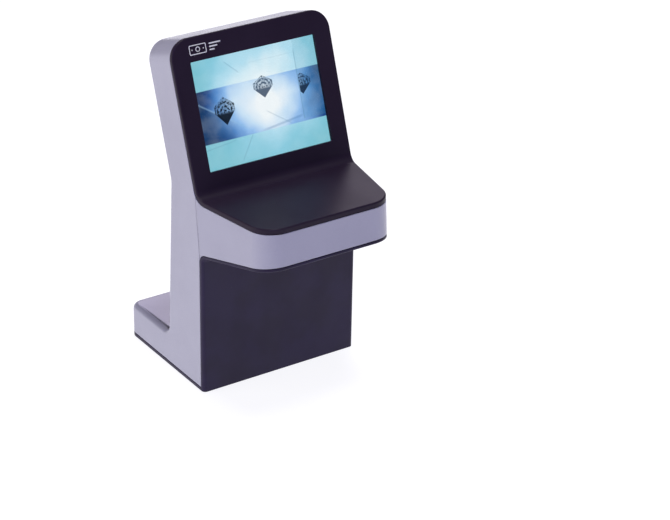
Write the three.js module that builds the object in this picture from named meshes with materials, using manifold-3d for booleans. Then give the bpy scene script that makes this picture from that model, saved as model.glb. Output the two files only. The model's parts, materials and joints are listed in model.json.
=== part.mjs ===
// Desktop counterfeit bill detector with an infrared camera and a 5-inch screen.
//
// Frame: millimetres, +Z up, the front faces -Y, the origin lies at the bottom centre of the
// bounding box. Three local frames are used:
//   head frame       origin at the bend under the screen, +Y into the head, +Z up the screen
//   underside frame  origin where the visor's underside leaves the column, +Z into the visor
//   world            everything else
import * as THREE from 'three';
import { mergeVertices } from 'three/addons/utils/BufferGeometryUtils.js';
import Module from 'manifold-3d';

const wasm = await Module();
wasm.setup();

// ---------------------------------------------------------------- driving dimensions
const WIDTH = 124;                 // across the column and the head
const DEPTH = 165;                 // visor's front edge to the back of the foot
const HALF = WIDTH / 2;
const REAR_Y = DEPTH / 2;
const WALL = 2;                    // housing wall
const COVER = 3;                   // thickness of the dark front cover
const LIP = 3.8;                   // its thickness at the visor's front
const RIM = 2.2;                   // thickness of the visor's underside
const GAP = 0.3;                   // clearance between neighbouring pieces
const CUT = 5;                     // how far a cutter runs past the face that it cuts

const BASE_Z = 0.8;                // underside of the base plate, the feet stand below it
const BASE_TOP = 3.2;
const PANEL_FRONT_Y = -20.1;       // face of the lower front panel, the datum for depths
const PANEL_BACK_Y = PANEL_FRONT_Y + 3.7;
const SEAM_Y = PANEL_BACK_Y + GAP; // front edge of the housing's side walls
const UNDERSIDE_Z = 103.6;         // where the visor's underside leaves the column

const FOOT_TOP = 25.8;
const FOOT_CORNER = 8;
const COLUMN_REAR_BOTTOM = [PANEL_FRONT_Y + 48.5, FOOT_TOP];       // y, z
const COLUMN_REAR_TOP = [PANEL_FRONT_Y + 42, 146];

const TILT = THREE.MathUtils.degToRad(19.2);       // the head leans back
const BEND = [PANEL_FRONT_Y + 5.1, 145.4];         // y, z of the bend under the screen
const HEAD_LENGTH = 106.2;                         // bend to the top edge, along the head
const HEAD_DEPTH = 34.6;
const HEAD_CORNER = 14;

const UNDERSIDE_TILT = THREE.MathUtils.degToRad(11.15);
const CORNER_INSIDE = 3.5;                         // where the front panel turns into the rim
const CORNER_OUTSIDE = 7;
const VISOR_HALF = 50.2;                           // half width at the visor's front
const VISOR_CORNER = 18;
const VISOR_LEAN = 0.08;                           // the visor's front stands back by this per mm up
const VISOR_LOW_Z = 115.9;                         // lower front edge of the visor
const VISOR_FRONT_Y = -REAR_Y + VISOR_LEAN * (BEND[1] - VISOR_LOW_Z);   // at the shelf's height
const VISOR_SEAM_Y = PANEL_FRONT_Y + 8.4;          // seam of band and housing at the shelf's height

const SCREEN = { width: 97, height: 74, centre: 52.8 };     // opening in the front cover
const WINDOW_THICK = 1.8;
const LCD = { width: 117.6, height: 88.4, front: 4.6, back: 10.2 };
const LCD_CENTRE = SCREEN.centre - 1.6;            // its wider border is at the cable's side
const LCD_LOW = LCD_CENTRE - LCD.height / 2;
const LCD_HIGH = LCD_CENTRE + LCD.height / 2;
const BRACKET_X = 40;
const HEAD_SCREW = { x: 24, s: 99 };
const BRACKET_SCREW_S = [3.6, 99];
const EDGE = 4;                                    // radius of the housing's rear edges

const PANEL_Y = REAR_Y - 3;                        // sunk socket panel at the back of the foot
const SOCKET_Z = 13;
const SOCKET_X = 22;

const ARC_STEP = THREE.MathUtils.degToRad(15);

// ---------------------------------------------------------------- materials
function finish(color, roughness, metalness = 0, opacity = 1) {
  return new THREE.MeshStandardMaterial({
    color, roughness, metalness, opacity, transparent: opacity < 1,
  });
}

const SILVER = finish('#b6b3c8', 0.42);
const GLOSS_BLACK = finish('#262029', 0.16);
const SATIN_BLACK = finish('#322c3b', 0.38);
const CLEAR = finish('#dfe8ea', 0.05, 0, 0.25);
const INFRARED_DARK = finish('#2a0f14', 0.1);
const RUBBER = finish('#1d1d1f', 0.85);
const STEEL = finish('#b9bcc0', 0.35, 0.9);
const BLACK_SCREW = finish('#2b2b2e', 0.4, 0.8);
const BOARD = finish('#1f6b3c', 0.5);
const CHIP = finish('#1b1c1e', 0.55);
const NYLON = finish('#e7e2d2', 0.5);
const GLASS = finish('#6f8fa6', 0.06);
const CAPACITOR = finish('#3a3f57', 0.4, 0.3);
const CABLE = finish('#5d5f66', 0.6);
const LED_CLEAR = finish('#b9b6c4', 0.12);

// ---------------------------------------------------------------- shape helpers
// Turns corners [u, v, radius] into points, with an arc at each corner that has a radius.
function rounded(corners) {
  const points = [];
  corners.forEach(([u, v, radius], index) => {
    const corner = new THREE.Vector2(u, v);
    if (!radius) {
      points.push(corner);
      return;
    }
    const [beforeU, beforeV] = corners.at(index - 1);
    const [afterU, afterV] = corners[(index + 1) % corners.length];
    const toBefore = new THREE.Vector2(beforeU, beforeV).sub(corner).normalize();
    const toAfter = new THREE.Vector2(afterU, afterV).sub(corner).normalize();
    const half = Math.acos(toBefore.dot(toAfter)) / 2;
    const middle = toBefore.clone().add(toAfter).normalize();
    const centre = corner.clone().addScaledVector(middle, radius / Math.sin(half));
    const start = corner.clone().addScaledVector(toBefore, radius / Math.tan(half)).sub(centre);
    const end = corner.clone().addScaledVector(toAfter, radius / Math.tan(half)).sub(centre);
    const sweep = Math.atan2(start.cross(end), start.dot(end));
    const steps = Math.max(2, Math.ceil(Math.abs(sweep) / ARC_STEP));
    for (let step = 0; step <= steps; step += 1) {
      const turned = start.clone().rotateAround(new THREE.Vector2(), (sweep * step) / steps);
      points.push(turned.add(centre));
    }
  });
  return points;
}

// Moves each edge of a counter-clockwise outline inwards by its own distance.
function insetEdges(corners, distances) {
  const edges = corners.map(([u, v], index) => {
    const [nextU, nextV] = corners[(index + 1) % corners.length];
    const along = new THREE.Vector2(nextU - u, nextV - v).normalize();
    const inward = new THREE.Vector2(-along.y, along.x);
    return { start: new THREE.Vector2(u, v).addScaledVector(inward, distances[index]), along };
  });
  return corners.map(([, , radius], index) => {
    const before = edges.at(index - 1);
    const after = edges[index];
    const turn = before.along.cross(after.along);
    const offset = after.start.clone().sub(before.start);
    const travel = offset.cross(after.along) / turn;
    const point = before.start.clone().addScaledVector(before.along, travel);
    const change = turn > 0 ? -distances[index] : distances[index];
    return [point.x, point.y, radius ? Math.max(radius + change, 0.5) : 0];
  });
}

function solid(geometry, matrix = new THREE.Matrix4()) {
  const bare = geometry.clone();
  bare.deleteAttribute('normal');
  bare.deleteAttribute('uv');
  bare.applyMatrix4(matrix);
  const merged = mergeVertices(bare, 1e-4);
  const vertProperties = merged.attributes.position.array;
  const triVerts = new Uint32Array(merged.index.array);
  return new wasm.Manifold(new wasm.Mesh({ numProp: 3, vertProperties, triVerts }));
}

function mesh(name, shape, material) {
  const { vertProperties, triVerts } = shape.getMesh();
  const geometry = new THREE.BufferGeometry();
  geometry.setAttribute('position', new THREE.BufferAttribute(new Float32Array(vertProperties), 3));
  geometry.setIndex(new THREE.BufferAttribute(new Uint32Array(triVerts), 1));
  geometry.computeVertexNormals();
  const piece = new THREE.Mesh(geometry, material);
  piece.name = name;
  return piece;
}

const ALONG_X = new THREE.Matrix4().makeBasis(
  new THREE.Vector3(0, 1, 0), new THREE.Vector3(0, 0, 1), new THREE.Vector3(1, 0, 0));
const ALONG_Y = new THREE.Matrix4().makeBasis(
  new THREE.Vector3(-1, 0, 0), new THREE.Vector3(0, 0, 1), new THREE.Vector3(0, 1, 0));
const ALONG_Z = new THREE.Matrix4();

// Extrudes an outline. Along X its points are (y, z), along Y they are (-x, z), along Z (x, y).
function prism(corners, from, to, direction) {
  const shape = new THREE.Shape(rounded(corners));
  const geometry = new THREE.ExtrudeGeometry(shape, { depth: to - from, bevelEnabled: false });
  geometry.translate(0, 0, from);
  return solid(geometry, direction);
}

function box([x0, x1], [y0, y1], [z0, z1]) {
  const geometry = new THREE.BoxGeometry(x1 - x0, y1 - y0, z1 - z0);
  geometry.translate((x0 + x1) / 2, (y0 + y1) / 2, (z0 + z1) / 2);
  return solid(geometry);
}

// A turned body from [radius, height] pairs, standing on (x, y) along Z.
function turned(profile, x = 0, y = 0, sides = 20) {
  const points = [[0, profile[0][1]], ...profile, [0, profile.at(-1)[1]]];
  const outline = points.map(([radius, height]) => new THREE.Vector2(radius, height));
  const geometry = new THREE.LatheGeometry(outline, sides);
  geometry.rotateX(Math.PI / 2);
  geometry.translate(x, y, 0);
  return solid(geometry);
}

// A round bar along Y between two depths.
function barY(radius, [y0, y1], x, z, sides = 20) {
  const geometry = new THREE.CylinderGeometry(radius, radius, y1 - y0, sides);
  geometry.translate(x, (y0 + y1) / 2, z);
  return solid(geometry);
}

function barZ(radius, [z0, z1], x, y, sides = 20) {
  const geometry = new THREE.CylinderGeometry(radius, radius, z1 - z0, sides);
  geometry.rotateX(Math.PI / 2);
  geometry.translate(x, y, (z0 + z1) / 2);
  return solid(geometry);
}

const join = (...shapes) => shapes.reduce((sum, shape) => sum.add(shape));
const cut = (shape, ...tools) => tools.reduce((rest, tool) => rest.subtract(tool), shape);
const SIDES = [-1, 1];

// ---------------------------------------------------------------- local frames
const headFrame = new THREE.Matrix4()
  .makeTranslation(0, BEND[0], BEND[1])
  .multiply(new THREE.Matrix4().makeRotationX(-TILT));
const undersideFrame = new THREE.Matrix4()
  .makeTranslation(0, PANEL_FRONT_Y, UNDERSIDE_Z)
  .multiply(new THREE.Matrix4().makeRotationX(-UNDERSIDE_TILT));

const place = (shape, frame) => shape.transform(frame.elements);

// World (y, z) of a point of the head frame.
function headPoint(depth, along) {
  return [
    BEND[0] + depth * Math.cos(TILT) + along * Math.sin(TILT),
    BEND[1] - depth * Math.sin(TILT) + along * Math.cos(TILT),
  ];
}

function coverBottom(y) {
  const share = (BEND[0] - y) / (BEND[0] - VISOR_FRONT_Y);
  return BEND[1] - COVER - (LIP - COVER) * share;
}

const undersideZ = (y) => UNDERSIDE_Z + (PANEL_FRONT_Y - y) * Math.tan(UNDERSIDE_TILT);
const RIM_TOP = RIM / Math.cos(UNDERSIDE_TILT);
const COVER_BEND = [VISOR_SEAM_Y, coverBottom(VISOR_SEAM_Y)];   // inner corner of the cover

// ---------------------------------------------------------------- envelopes
// Everything inside the head's front outline, which has two round top corners.
function headEnvelope(inset = 0) {
  const side = HALF - inset;
  const top = HEAD_LENGTH - inset;
  const corner = HEAD_CORNER - inset;
  const outline = [[-side, -300], [side, -300], [side, top, corner], [-side, top, corner]];
  return place(prism(outline, -200, 200, ALONG_Y), headFrame);
}

// Everything inside the plan of column and foot, which has two round rear corners.
function footEnvelope(inset = 0) {
  const side = HALF - inset;
  const rear = REAR_Y - inset;
  const corner = FOOT_CORNER - inset;
  const outline = [[-side, -200], [side, -200], [side, rear, corner], [-side, rear, corner]];
  return prism(outline, -20, HEAD_LENGTH * 3, ALONG_Z);
}

// Everything inside the visor's plan, leaning with its front. It is open to the rear.
function visorEnvelope(inset = 0) {
  const side = HALF - inset;
  const front = VISOR_FRONT_Y + inset;
  const corner = VISOR_CORNER - inset;
  const outline = [
    [-side, 200],
    [-side, VISOR_SEAM_Y],
    [-VISOR_HALF + inset, front, corner],
    [VISOR_HALF - inset, front, corner],
    [side, VISOR_SEAM_Y],
    [side, 200],
  ];
  const lean = new THREE.Matrix4().set(
    1, 0, 0, 0,
    0, 1, VISOR_LEAN, -VISOR_LEAN * BEND[1],
    0, 0, 1, 0,
    0, 0, 0, 1,
  );
  return place(prism(outline, -20, 320, ALONG_Z), lean);
}

// ---------------------------------------------------------------- outer shells
const SEAM_LOW_Z = UNDERSIDE_Z - CORNER_OUTSIDE;   // lower end of the seam of band and housing
const HOUSING_OUTLINE = [
  [SEAM_Y, BASE_TOP + GAP],
  [REAR_Y, BASE_TOP + GAP],
  [REAR_Y, FOOT_TOP, EDGE],
  [...COLUMN_REAR_BOTTOM, 6],
  [...COLUMN_REAR_TOP, 14],
  [...headPoint(HEAD_DEPTH, HEAD_LENGTH), EDGE],
  headPoint(COVER + GAP, HEAD_LENGTH),
  [COVER_BEND[0] + GAP, COVER_BEND[1] - GAP],
  [SEAM_Y, SEAM_LOW_Z],
];
const OPEN = -CUT;

const COLUMN_POST = { x: 44, z: 62, y: 6, end: 28 };        // where front panel and housing are screwed
const BASE_BOSSES = SIDES.flatMap((side) => [[side * 56, 14], [side * 56, 50]]);

function housingShell() {
  const outer = prism(HOUSING_OUTLINE, -HALF, HALF, ALONG_X)
    .intersect(headEnvelope())
    .intersect(footEnvelope());
  const walls = [OPEN, WALL, WALL, WALL, WALL, WALL, OPEN, OPEN, OPEN];
  const inner = prism(insetEdges(HOUSING_OUTLINE, walls), -HALF + WALL, HALF - WALL, ALONG_X)
    .intersect(headEnvelope(WALL))
    .intersect(footEnvelope(WALL));
  return { outer, hollow: outer.subtract(inner) };
}

function headTube(side) {
  const x = side * HEAD_SCREW.x;
  const tube = barY(4.2, [14.5, HEAD_DEPTH - 1], x, HEAD_SCREW.s);
  return place(tube, headFrame);
}

function headTubeBore(side) {
  const x = side * HEAD_SCREW.x;
  const through = barY(1.5, [14, HEAD_DEPTH], x, HEAD_SCREW.s);
  const sink = barY(3.2, [18, HEAD_DEPTH + CUT], x, HEAD_SCREW.s);
  return place(join(through, sink), headFrame);
}

function columnTube(side) {
  return barY(4.5, [COLUMN_POST.y + GAP, COLUMN_POST.end], side * COLUMN_POST.x, COLUMN_POST.z);
}

function columnTubeBore(side) {
  const x = side * COLUMN_POST.x;
  const through = barY(1.6, [COLUMN_POST.y, COLUMN_POST.end], x, COLUMN_POST.z);
  const sink = barY(3.2, [10, COLUMN_POST.end + CUT], x, COLUMN_POST.z);
  return join(through, sink);
}

function baseBoss([x, y]) {
  return barZ(4.5, [7, 23], x, y);
}

// Wall behind the sunk panel that carries the inlet and the switch.
function socketPanel() {
  const block = box([-37, 37], [PANEL_Y - WALL, REAR_Y - 1], [BASE_TOP + GAP, FOOT_TOP - 1]);
  const sunk = prism(
    [[-35, 5, 2], [35, 5, 2], [35, 20.5, 2], [-35, 20.5, 2]], PANEL_Y, REAR_Y + CUT, ALONG_Y);
  const inlet = barY(4.1, [PANEL_Y - CUT, PANEL_Y + CUT], SOCKET_X, SOCKET_Z, 24);
  const rocker = box(
    [-SOCKET_X - 7, -SOCKET_X + 7], [PANEL_Y - CUT, PANEL_Y + CUT], [SOCKET_Z - 4.6, SOCKET_Z + 4.6]);
  return { block, openings: join(sunk, inlet, rocker) };
}

function headVents() {
  const slots = [];
  for (let row = 0; row < 6; row += 1) {
    const s = 48 + row * 5;
    slots.push(prism(
      [[-24, s, 1.1], [24, s, 1.1], [24, s + 2.4, 1.1], [-24, s + 2.4, 1.1]],
      HEAD_DEPTH - CUT, HEAD_DEPTH + CUT, ALONG_Y));
  }
  return place(join(...slots), headFrame);
}

function rearHousing() {
  const { outer, hollow } = housingShell();
  const panel = socketPanel();
  const inside = join(...SIDES.map(headTube), ...SIDES.map(columnTube),
    ...BASE_BOSSES.map(baseBoss), panel.block).intersect(outer);
  const bossBores = BASE_BOSSES.map(([x, y]) => barZ(1.4, [6, 17], x, y, 12));
  return cut(hollow.add(inside), ...SIDES.map(headTubeBore), ...SIDES.map(columnTubeBore),
    ...bossBores, panel.openings, headVents());
}

function frontCover() {
  const front = VISOR_FRONT_Y - CUT;
  const outline = [
    headPoint(0, HEAD_LENGTH + CUT),
    [...BEND, 8],
    [front, BEND[1]],
    [front, coverBottom(front)],
    [...COVER_BEND, 4],
    headPoint(COVER, HEAD_LENGTH + CUT),
  ];
  const plate = prism(outline, -HALF, HALF, ALONG_X)
    .intersect(headEnvelope())
    .intersect(visorEnvelope());
  const posts = [];
  const pilots = [];
  for (const side of SIDES) {
    for (const s of BRACKET_SCREW_S) {
      posts.push(barY(3, [COVER - 1, LCD.back], side * BRACKET_X, s));
      pilots.push(barY(1.2, [5.5, LCD.back + 1], side * BRACKET_X, s, 12));
    }
    posts.push(barY(3.2, [COVER - 1, 14.2], side * HEAD_SCREW.x, HEAD_SCREW.s));
    pilots.push(barY(1.5, [7, 15], side * HEAD_SCREW.x, HEAD_SCREW.s, 12));
  }
  const { centre } = SCREEN;
  const opening = box([-SCREEN.width / 2, SCREEN.width / 2], [-CUT, COVER + 1],
    [centre - SCREEN.height / 2, centre + SCREEN.height / 2]);
  const rebate = box([-51, 51], [1.6, COVER + 1], [centre - 39.5, centre + 39.5]);
  return cut(join(plate, place(join(...posts), headFrame)),
    place(join(opening, rebate, ...pilots), headFrame));
}

function screenWindow() {
  const half = 39.5 - GAP;
  return place(box([-51 + GAP, 51 - GAP], [1.9, 1.9 + WINDOW_THICK],
    [SCREEN.centre - half, SCREEN.centre + half]), headFrame);
}

function visorBand() {
  const front = VISOR_FRONT_Y - 2 * CUT;
  const cornerY = PANEL_BACK_Y + 0.1;
  const TIP = 3;                                   // keeps the lower end of the band from a knife edge
  const slab = prism([
    [front, undersideZ(front) + RIM_TOP + GAP],
    [cornerY, undersideZ(cornerY) + RIM_TOP + GAP, CORNER_OUTSIDE],
    [cornerY, SEAM_LOW_Z + TIP],
    [COVER_BEND[0] - GAP, COVER_BEND[1] - GAP],
    [front, coverBottom(front) - GAP],
  ], -HALF, HALF, ALONG_X);
  return slab.intersect(visorEnvelope()).subtract(visorEnvelope(WALL));
}

const IR_OPENING = { x: 42, back: -14, front: -50 };
const BOARD_POSTS = SIDES.flatMap((side) => [[side * 46, -18], [side * 46, -46]]);
const CAMERA_W = 16;                               // lower face of the camera board

// Everything behind the panel's face, with its round front edges. It is open above the bend.
function panelEnvelope() {
  const edge = PANEL_BACK_Y - PANEL_FRONT_Y - 0.7;
  const plan = [
    [-HALF, PANEL_FRONT_Y, edge], [HALF, PANEL_FRONT_Y, edge], [HALF, 0], [-HALF, 0],
  ];
  const upright = prism(plan, 0, UNDERSIDE_Z - CORNER_INSIDE, ALONG_Z);
  const above = box([-HALF, HALF], [-2 * HALF, 0], [UNDERSIDE_Z - CORNER_INSIDE, 2 * HALF]);
  return upright.add(above);
}

function lowerFrontPanel() {
  const front = VISOR_FRONT_Y - 2 * CUT;
  const plate = prism([
    [PANEL_FRONT_Y, BASE_Z],
    [PANEL_BACK_Y, BASE_Z],
    [PANEL_BACK_Y, undersideZ(PANEL_BACK_Y) + RIM_TOP, CORNER_OUTSIDE],
    [front, undersideZ(front) + RIM_TOP],
    [front, undersideZ(front)],
    [PANEL_FRONT_Y, UNDERSIDE_Z, CORNER_INSIDE],
  ], -HALF, HALF, ALONG_X).intersect(visorEnvelope()).intersect(panelEnvelope());
  const { x, back, front: irFront } = IR_OPENING;
  const opening = box([-x, x], [irFront, back], [-CUT, CUT]);
  const rebate = box([-x - 2.5, x + 2.5], [irFront - 2.5, back + 2.5], [0.6, CUT]);
  const posts = BOARD_POSTS.map(([px, py]) => barZ(2.4, [RIM - 1, CAMERA_W - GAP], px, py, 16));
  const pilots = BOARD_POSTS.map(([px, py]) => barZ(1.1, [8, CAMERA_W + 1], px, py, 12));
  const columnPosts = SIDES.map((side) => (
    barY(3.5, [PANEL_BACK_Y - 1, COLUMN_POST.y], side * COLUMN_POST.x, COLUMN_POST.z)));
  const columnPilots = SIDES.map((side) => (
    barY(1.4, [-7, COLUMN_POST.y + 1], side * COLUMN_POST.x, COLUMN_POST.z, 12)));
  const body = join(plate, place(join(...posts), undersideFrame), ...columnPosts);
  return cut(body, place(join(opening, rebate, ...pilots), undersideFrame), ...columnPilots);
}

function infraredWindow() {
  const { x, back, front } = IR_OPENING;
  const margin = 2.5 - GAP;
  return place(box([-x - margin, x + margin], [front - margin, back + margin], [0.9, 2.1]),
    undersideFrame);
}

const FEET = SIDES.flatMap((side) => [[side * 50, PANEL_BACK_Y + 8], [side * 50, REAR_Y - 15]]);
const BOARD_STANDS = SIDES.flatMap((side) => [[side * 41, 12], [side * 41, 56]]);
const MAIN_BOARD = { x: 46, y: [6, 61], z: [8, 9.6] };

function basePlate() {
  const slab = box([-HALF, HALF], [SEAM_Y, REAR_Y], [BASE_Z, BASE_TOP]).intersect(footEnvelope());
  const lipOuter = WALL + GAP;
  const lipSpan = box([-HALF, HALF], [SEAM_Y + 1, PANEL_Y - WALL - GAP], [BASE_TOP - 0.5, 6.4]);
  const lip = lipSpan.intersect(footEnvelope(lipOuter))
    .subtract(box([-HALF + 4, HALF - 4], [SEAM_Y + 3, PANEL_Y - 6], [BASE_TOP - CUT, 12])
      .intersect(footEnvelope(lipOuter + 1.7)));
  const standZ = [BASE_TOP - 1, MAIN_BOARD.z[0] - GAP];
  const stands = BOARD_STANDS.map(([x, y]) => barZ(3, standZ, x, y, 16));
  const standBores = BOARD_STANDS.map(([x, y]) => barZ(1.1, [4.5, 12], x, y, 12));
  const footPockets = FEET.map(([x, y]) => barZ(6.3, [-1, 2.2], x, y, 24));
  const screwHoles = BASE_BOSSES.map(([x, y]) => (
    join(barZ(1.5, [-1, 12], x, y, 12), barZ(2.9, [-1, 2.4], x, y, 16))));
  const bossRoom = BASE_BOSSES.map(([x, y]) => barZ(5, [BASE_TOP, 12], x, y, 20));
  return cut(join(slab, lip, ...stands), ...standBores, ...footPockets, ...screwHoles, ...bossRoom);
}

// ---------------------------------------------------------------- small hardware
function rubberFoot([x, y]) {
  return turned([[5.4, 0], [6, 0.6], [6, 1.9]], x, y, 24);
}

// A pan-head screw along Z with its head down, from [head, neck, tip] heights.
function screw([head, neck, tip], headRadius, shankRadius) {
  return turned([[headRadius, head], [headRadius, neck], [shankRadius, neck],
    [shankRadius, tip - 1], [shankRadius * 0.4, tip]], 0, 0, 14);
}

const facingBack = new THREE.Matrix4().makeRotationX(Math.PI / 2);
const facingUp = new THREE.Matrix4().makeRotationX(Math.PI);
const moved = (x, y, z) => new THREE.Matrix4().makeTranslation(x, y, z);

function baseScrew([x, y]) {
  return place(screw([1.2, 2.1, 15], 2.6, 1.1), moved(x, y, 0));
}

// Screws into the head: the origin is the seat of the head, the tip points at the screen.
function headFrameScrew(x, depth, s, length, headRadius, shankRadius) {
  const shape = screw([-1.8, 0, length], headRadius, shankRadius);
  return place(place(shape, moved(x, depth, s).multiply(facingBack)), headFrame);
}

function columnScrew(side) {
  const shape = screw([-2, 0, 14], 2.8, 1.1);
  return place(shape, moved(side * COLUMN_POST.x, 10.3, COLUMN_POST.z).multiply(facingBack));
}

function boardScrew([x, y], top, frame) {
  const shape = screw([-1.4, 0, 5.5], 2.1, 0.85);
  return place(place(shape, moved(x, y, top + GAP).multiply(facingUp)), frame);
}

// ---------------------------------------------------------------- display
function lcdGlass() {
  const margin = 1 + GAP;
  return place(box([-LCD.width / 2 + margin, LCD.width / 2 - margin], [LCD.front - GAP, 6.1],
    [LCD_LOW + margin, LCD_HIGH - margin]), headFrame);
}

function lcdFrame() {
  const tray = box([-LCD.width / 2, LCD.width / 2], [LCD.front, LCD.back], [LCD_LOW, LCD_HIGH]);
  const pocket = box([-LCD.width / 2 + 1, LCD.width / 2 - 1], [0, 6.4], [LCD_LOW + 1, LCD_HIGH - 1]);
  return place(tray.subtract(pocket), headFrame);
}

const DISPLAY_BOARD = { x: 45, n: [13.5, 15.1], s: [15, 85] };
const DISPLAY_SCREW_S = [22, 78];
const onBrackets = (heights) => SIDES.flatMap((side) => heights.map((s) => [side * BRACKET_X, s]));

function lcdBracket(side) {
  const x = side * BRACKET_X;
  const strip = box([x - 4, x + 4], [10.5, 11.5], [0.4, 103.4]);
  const bosses = DISPLAY_SCREW_S.map((s) => barY(2.6, [11, DISPLAY_BOARD.n[0] - GAP], x, s, 16));
  const bores = DISPLAY_SCREW_S.map((s) => barY(1.1, [9, 20], x, s, 12));
  const holes = BRACKET_SCREW_S.map((s) => barY(1.5, [9, 20], x, s, 12));
  return place(cut(join(strip, ...bosses), ...bores, ...holes), headFrame);
}

function displayBoard() {
  const { x, n, s } = DISPLAY_BOARD;
  const holes = SIDES.flatMap((side) => (
    DISPLAY_SCREW_S.map((at) => barY(1.4, [n[0] - 1, n[1] + 1], side * BRACKET_X, at, 12))));
  return place(cut(box([-x, x], n, s), ...holes), headFrame);
}

function displayPart(x, depth, s) {
  return place(box(x, depth, s), headFrame);
}

// Flat cable from the screen's lower edge round to the display board.
function lcdRibbon() {
  const upper = LCD_LOW - GAP;
  const lower = upper - 0.5;
  const outline = [
    [6, lower], [17.2, lower, 1.2], [17.2, 17.5], [16.7, 17.5], [16.7, upper, 0.7], [6, upper],
  ];
  return place(prism(outline, -14, 14, ALONG_X), headFrame);
}

// ---------------------------------------------------------------- camera and lighting
const CAMERA_Y = -32;

// One board holds the camera and the lamps. Its corners follow the visor's inner plan.
function cameraBoard() {
  const holes = BOARD_POSTS.map(([x, y]) => barZ(1.3, [CAMERA_W - 1, CAMERA_W + 3], x, y, 12));
  const plate = cut(box([-49, 49], [-49, -15], [CAMERA_W, CAMERA_W + 1.6]), ...holes);
  return place(plate, undersideFrame).intersect(visorEnvelope(WALL + 1));
}

function lensHolder() {
  const base = box([-8, 8], [CAMERA_Y - 8, CAMERA_Y + 8], [CAMERA_W - 3, CAMERA_W - GAP]);
  const tube = barZ(7.4, [CAMERA_W - 9, CAMERA_W - 2], 0, CAMERA_Y, 24);
  const bore = barZ(6.3, [CAMERA_W - 10, CAMERA_W + 1], 0, CAMERA_Y, 24);
  return place(cut(join(base, tube), bore), undersideFrame);
}

function lensBarrel() {
  const outside = turned([[7, 3.4], [7, 5.6], [6, 5.6], [6, 14]], 0, CAMERA_Y, 24);
  const bore = barZ(4.6, [3, 5.2], 0, CAMERA_Y, 24);
  return place(outside.subtract(bore), undersideFrame);
}

function cameraLens() {
  return place(turned([[1.4, 3.7], [3.2, 4.1], [4.3, 4.9]], 0, CAMERA_Y, 24), undersideFrame);
}

function infraredLed(x, y) {
  const profile = [[0.9, 7.6], [1.9, 8.2], [2.4, 9.4], [2.4, 14.4], [2.9, 14.4], [2.9, 15.4]];
  return place(turned(profile, x, y, 16), undersideFrame);
}

// ---------------------------------------------------------------- power and control
function mainBoard() {
  const { x, y, z } = MAIN_BOARD;
  const holes = BOARD_STANDS.map(([px, py]) => barZ(1.3, [z[0] - 1, z[1] + 1], px, py, 12));
  return cut(box([-x, x], y, z), ...holes);
}

function powerInlet() {
  const floor = MAIN_BOARD.z[1] + GAP;
  const bodyY = [57, PANEL_Y - WALL - GAP];
  const body = box([SOCKET_X - 4.8, SOCKET_X + 4.8], bodyY, [floor, SOCKET_Z + 5]);
  const nose = barY(3.8, [PANEL_Y - WALL - 1, PANEL_Y - 0.2], SOCKET_X, SOCKET_Z, 24);
  const bore = barY(2.95, [64, PANEL_Y + 1], SOCKET_X, SOCKET_Z, 24);
  return cut(join(body, nose), bore);
}

function powerPin() {
  return barY(1, [64 + GAP, PANEL_Y - 1], SOCKET_X, SOCKET_Z, 14);
}

const ROCKER_PIVOT = [-SOCKET_X, PANEL_Y - 0.5, SOCKET_Z];
const ROCKER_REST = THREE.MathUtils.degToRad(10);

function switchBody() {
  const [x, y, z] = ROCKER_PIVOT;
  const flange = prism([
    [-x - 7.7, z - 5.3, 1], [-x + 7.7, z - 5.3, 1], [-x + 7.7, z + 5.3, 1], [-x - 7.7, z + 5.3, 1],
  ], PANEL_Y + GAP, PANEL_Y + 1.9, ALONG_Y);
  const can = box([x - 6.7, x + 6.7], [PANEL_Y - 13, PANEL_Y + 1], [z - 4.3, z + 4.3]);
  const cavity = box([x - 6.1, x + 6.1], [PANEL_Y - 6, PANEL_Y + CUT], [z - 3.5, z + 3.5]);
  const bearings = barZ(1.1, [z - 4, z + 4], x, y, 14);
  return cut(join(flange, can), cavity, bearings);
}

function switchRocker() {
  const cap = prism([
    [-5.4, 2.3, 0.5], [-4.7, -1.4, 0.8], [-1.4, -2.6], [1.4, -2.6], [4.7, -1.4, 0.8],
    [5.4, 2.3, 0.5], [0, 1.4, 20],
  ], -3.2, 3.2, ALONG_Z);
  const pins = barZ(0.8, [-3.8, 3.8], 0, 0, 14);
  const turn = moved(...ROCKER_PIVOT).multiply(new THREE.Matrix4().makeRotationZ(ROCKER_REST));
  return place(join(cap, pins), turn);
}

function switchTerminal(side) {
  const x = ROCKER_PIVOT[0] + side * 3.6;
  const y = [PANEL_Y - 19, PANEL_Y - 13 - GAP];
  return box([x - 0.4, x + 0.4], y, [SOCKET_Z - 2.4, SOCKET_Z + 2.4]);
}

// ---------------------------------------------------------------- cables
function ribbon(points, width, thick) {
  const path = new THREE.CatmullRomCurve3(points.map((point) => new THREE.Vector3(...point)));
  const section = new THREE.Shape([
    new THREE.Vector2(-width / 2, -thick / 2), new THREE.Vector2(width / 2, -thick / 2),
    new THREE.Vector2(width / 2, thick / 2), new THREE.Vector2(-width / 2, thick / 2),
  ]);
  const options = { steps: 26, bevelEnabled: false, extrudePath: path };
  return solid(new THREE.ExtrudeGeometry(section, options));
}

const CAMERA_CABLE = [
  [18, -26, 129.5], [18, -18, 129.8], [18, -8, 126], [18, -1, 112], [18, 2, 85], [18, 2, 50],
  [18, 3, 28], [18, 7, 19], [18, 14, 16.8],
];
const DISPLAY_CABLE = [
  [-18, 14, 146], [-18, 10, 136], [-18, 5, 118], [-18, 3, 85], [-18, 3, 50], [-18, 4, 26],
  [-18, 7, 19], [-18, 14, 16.8],
];

// ---------------------------------------------------------------- assembly
const detector = new THREE.Group();
const add = (name, shape, material) => detector.add(mesh(name, shape, material));

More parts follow.
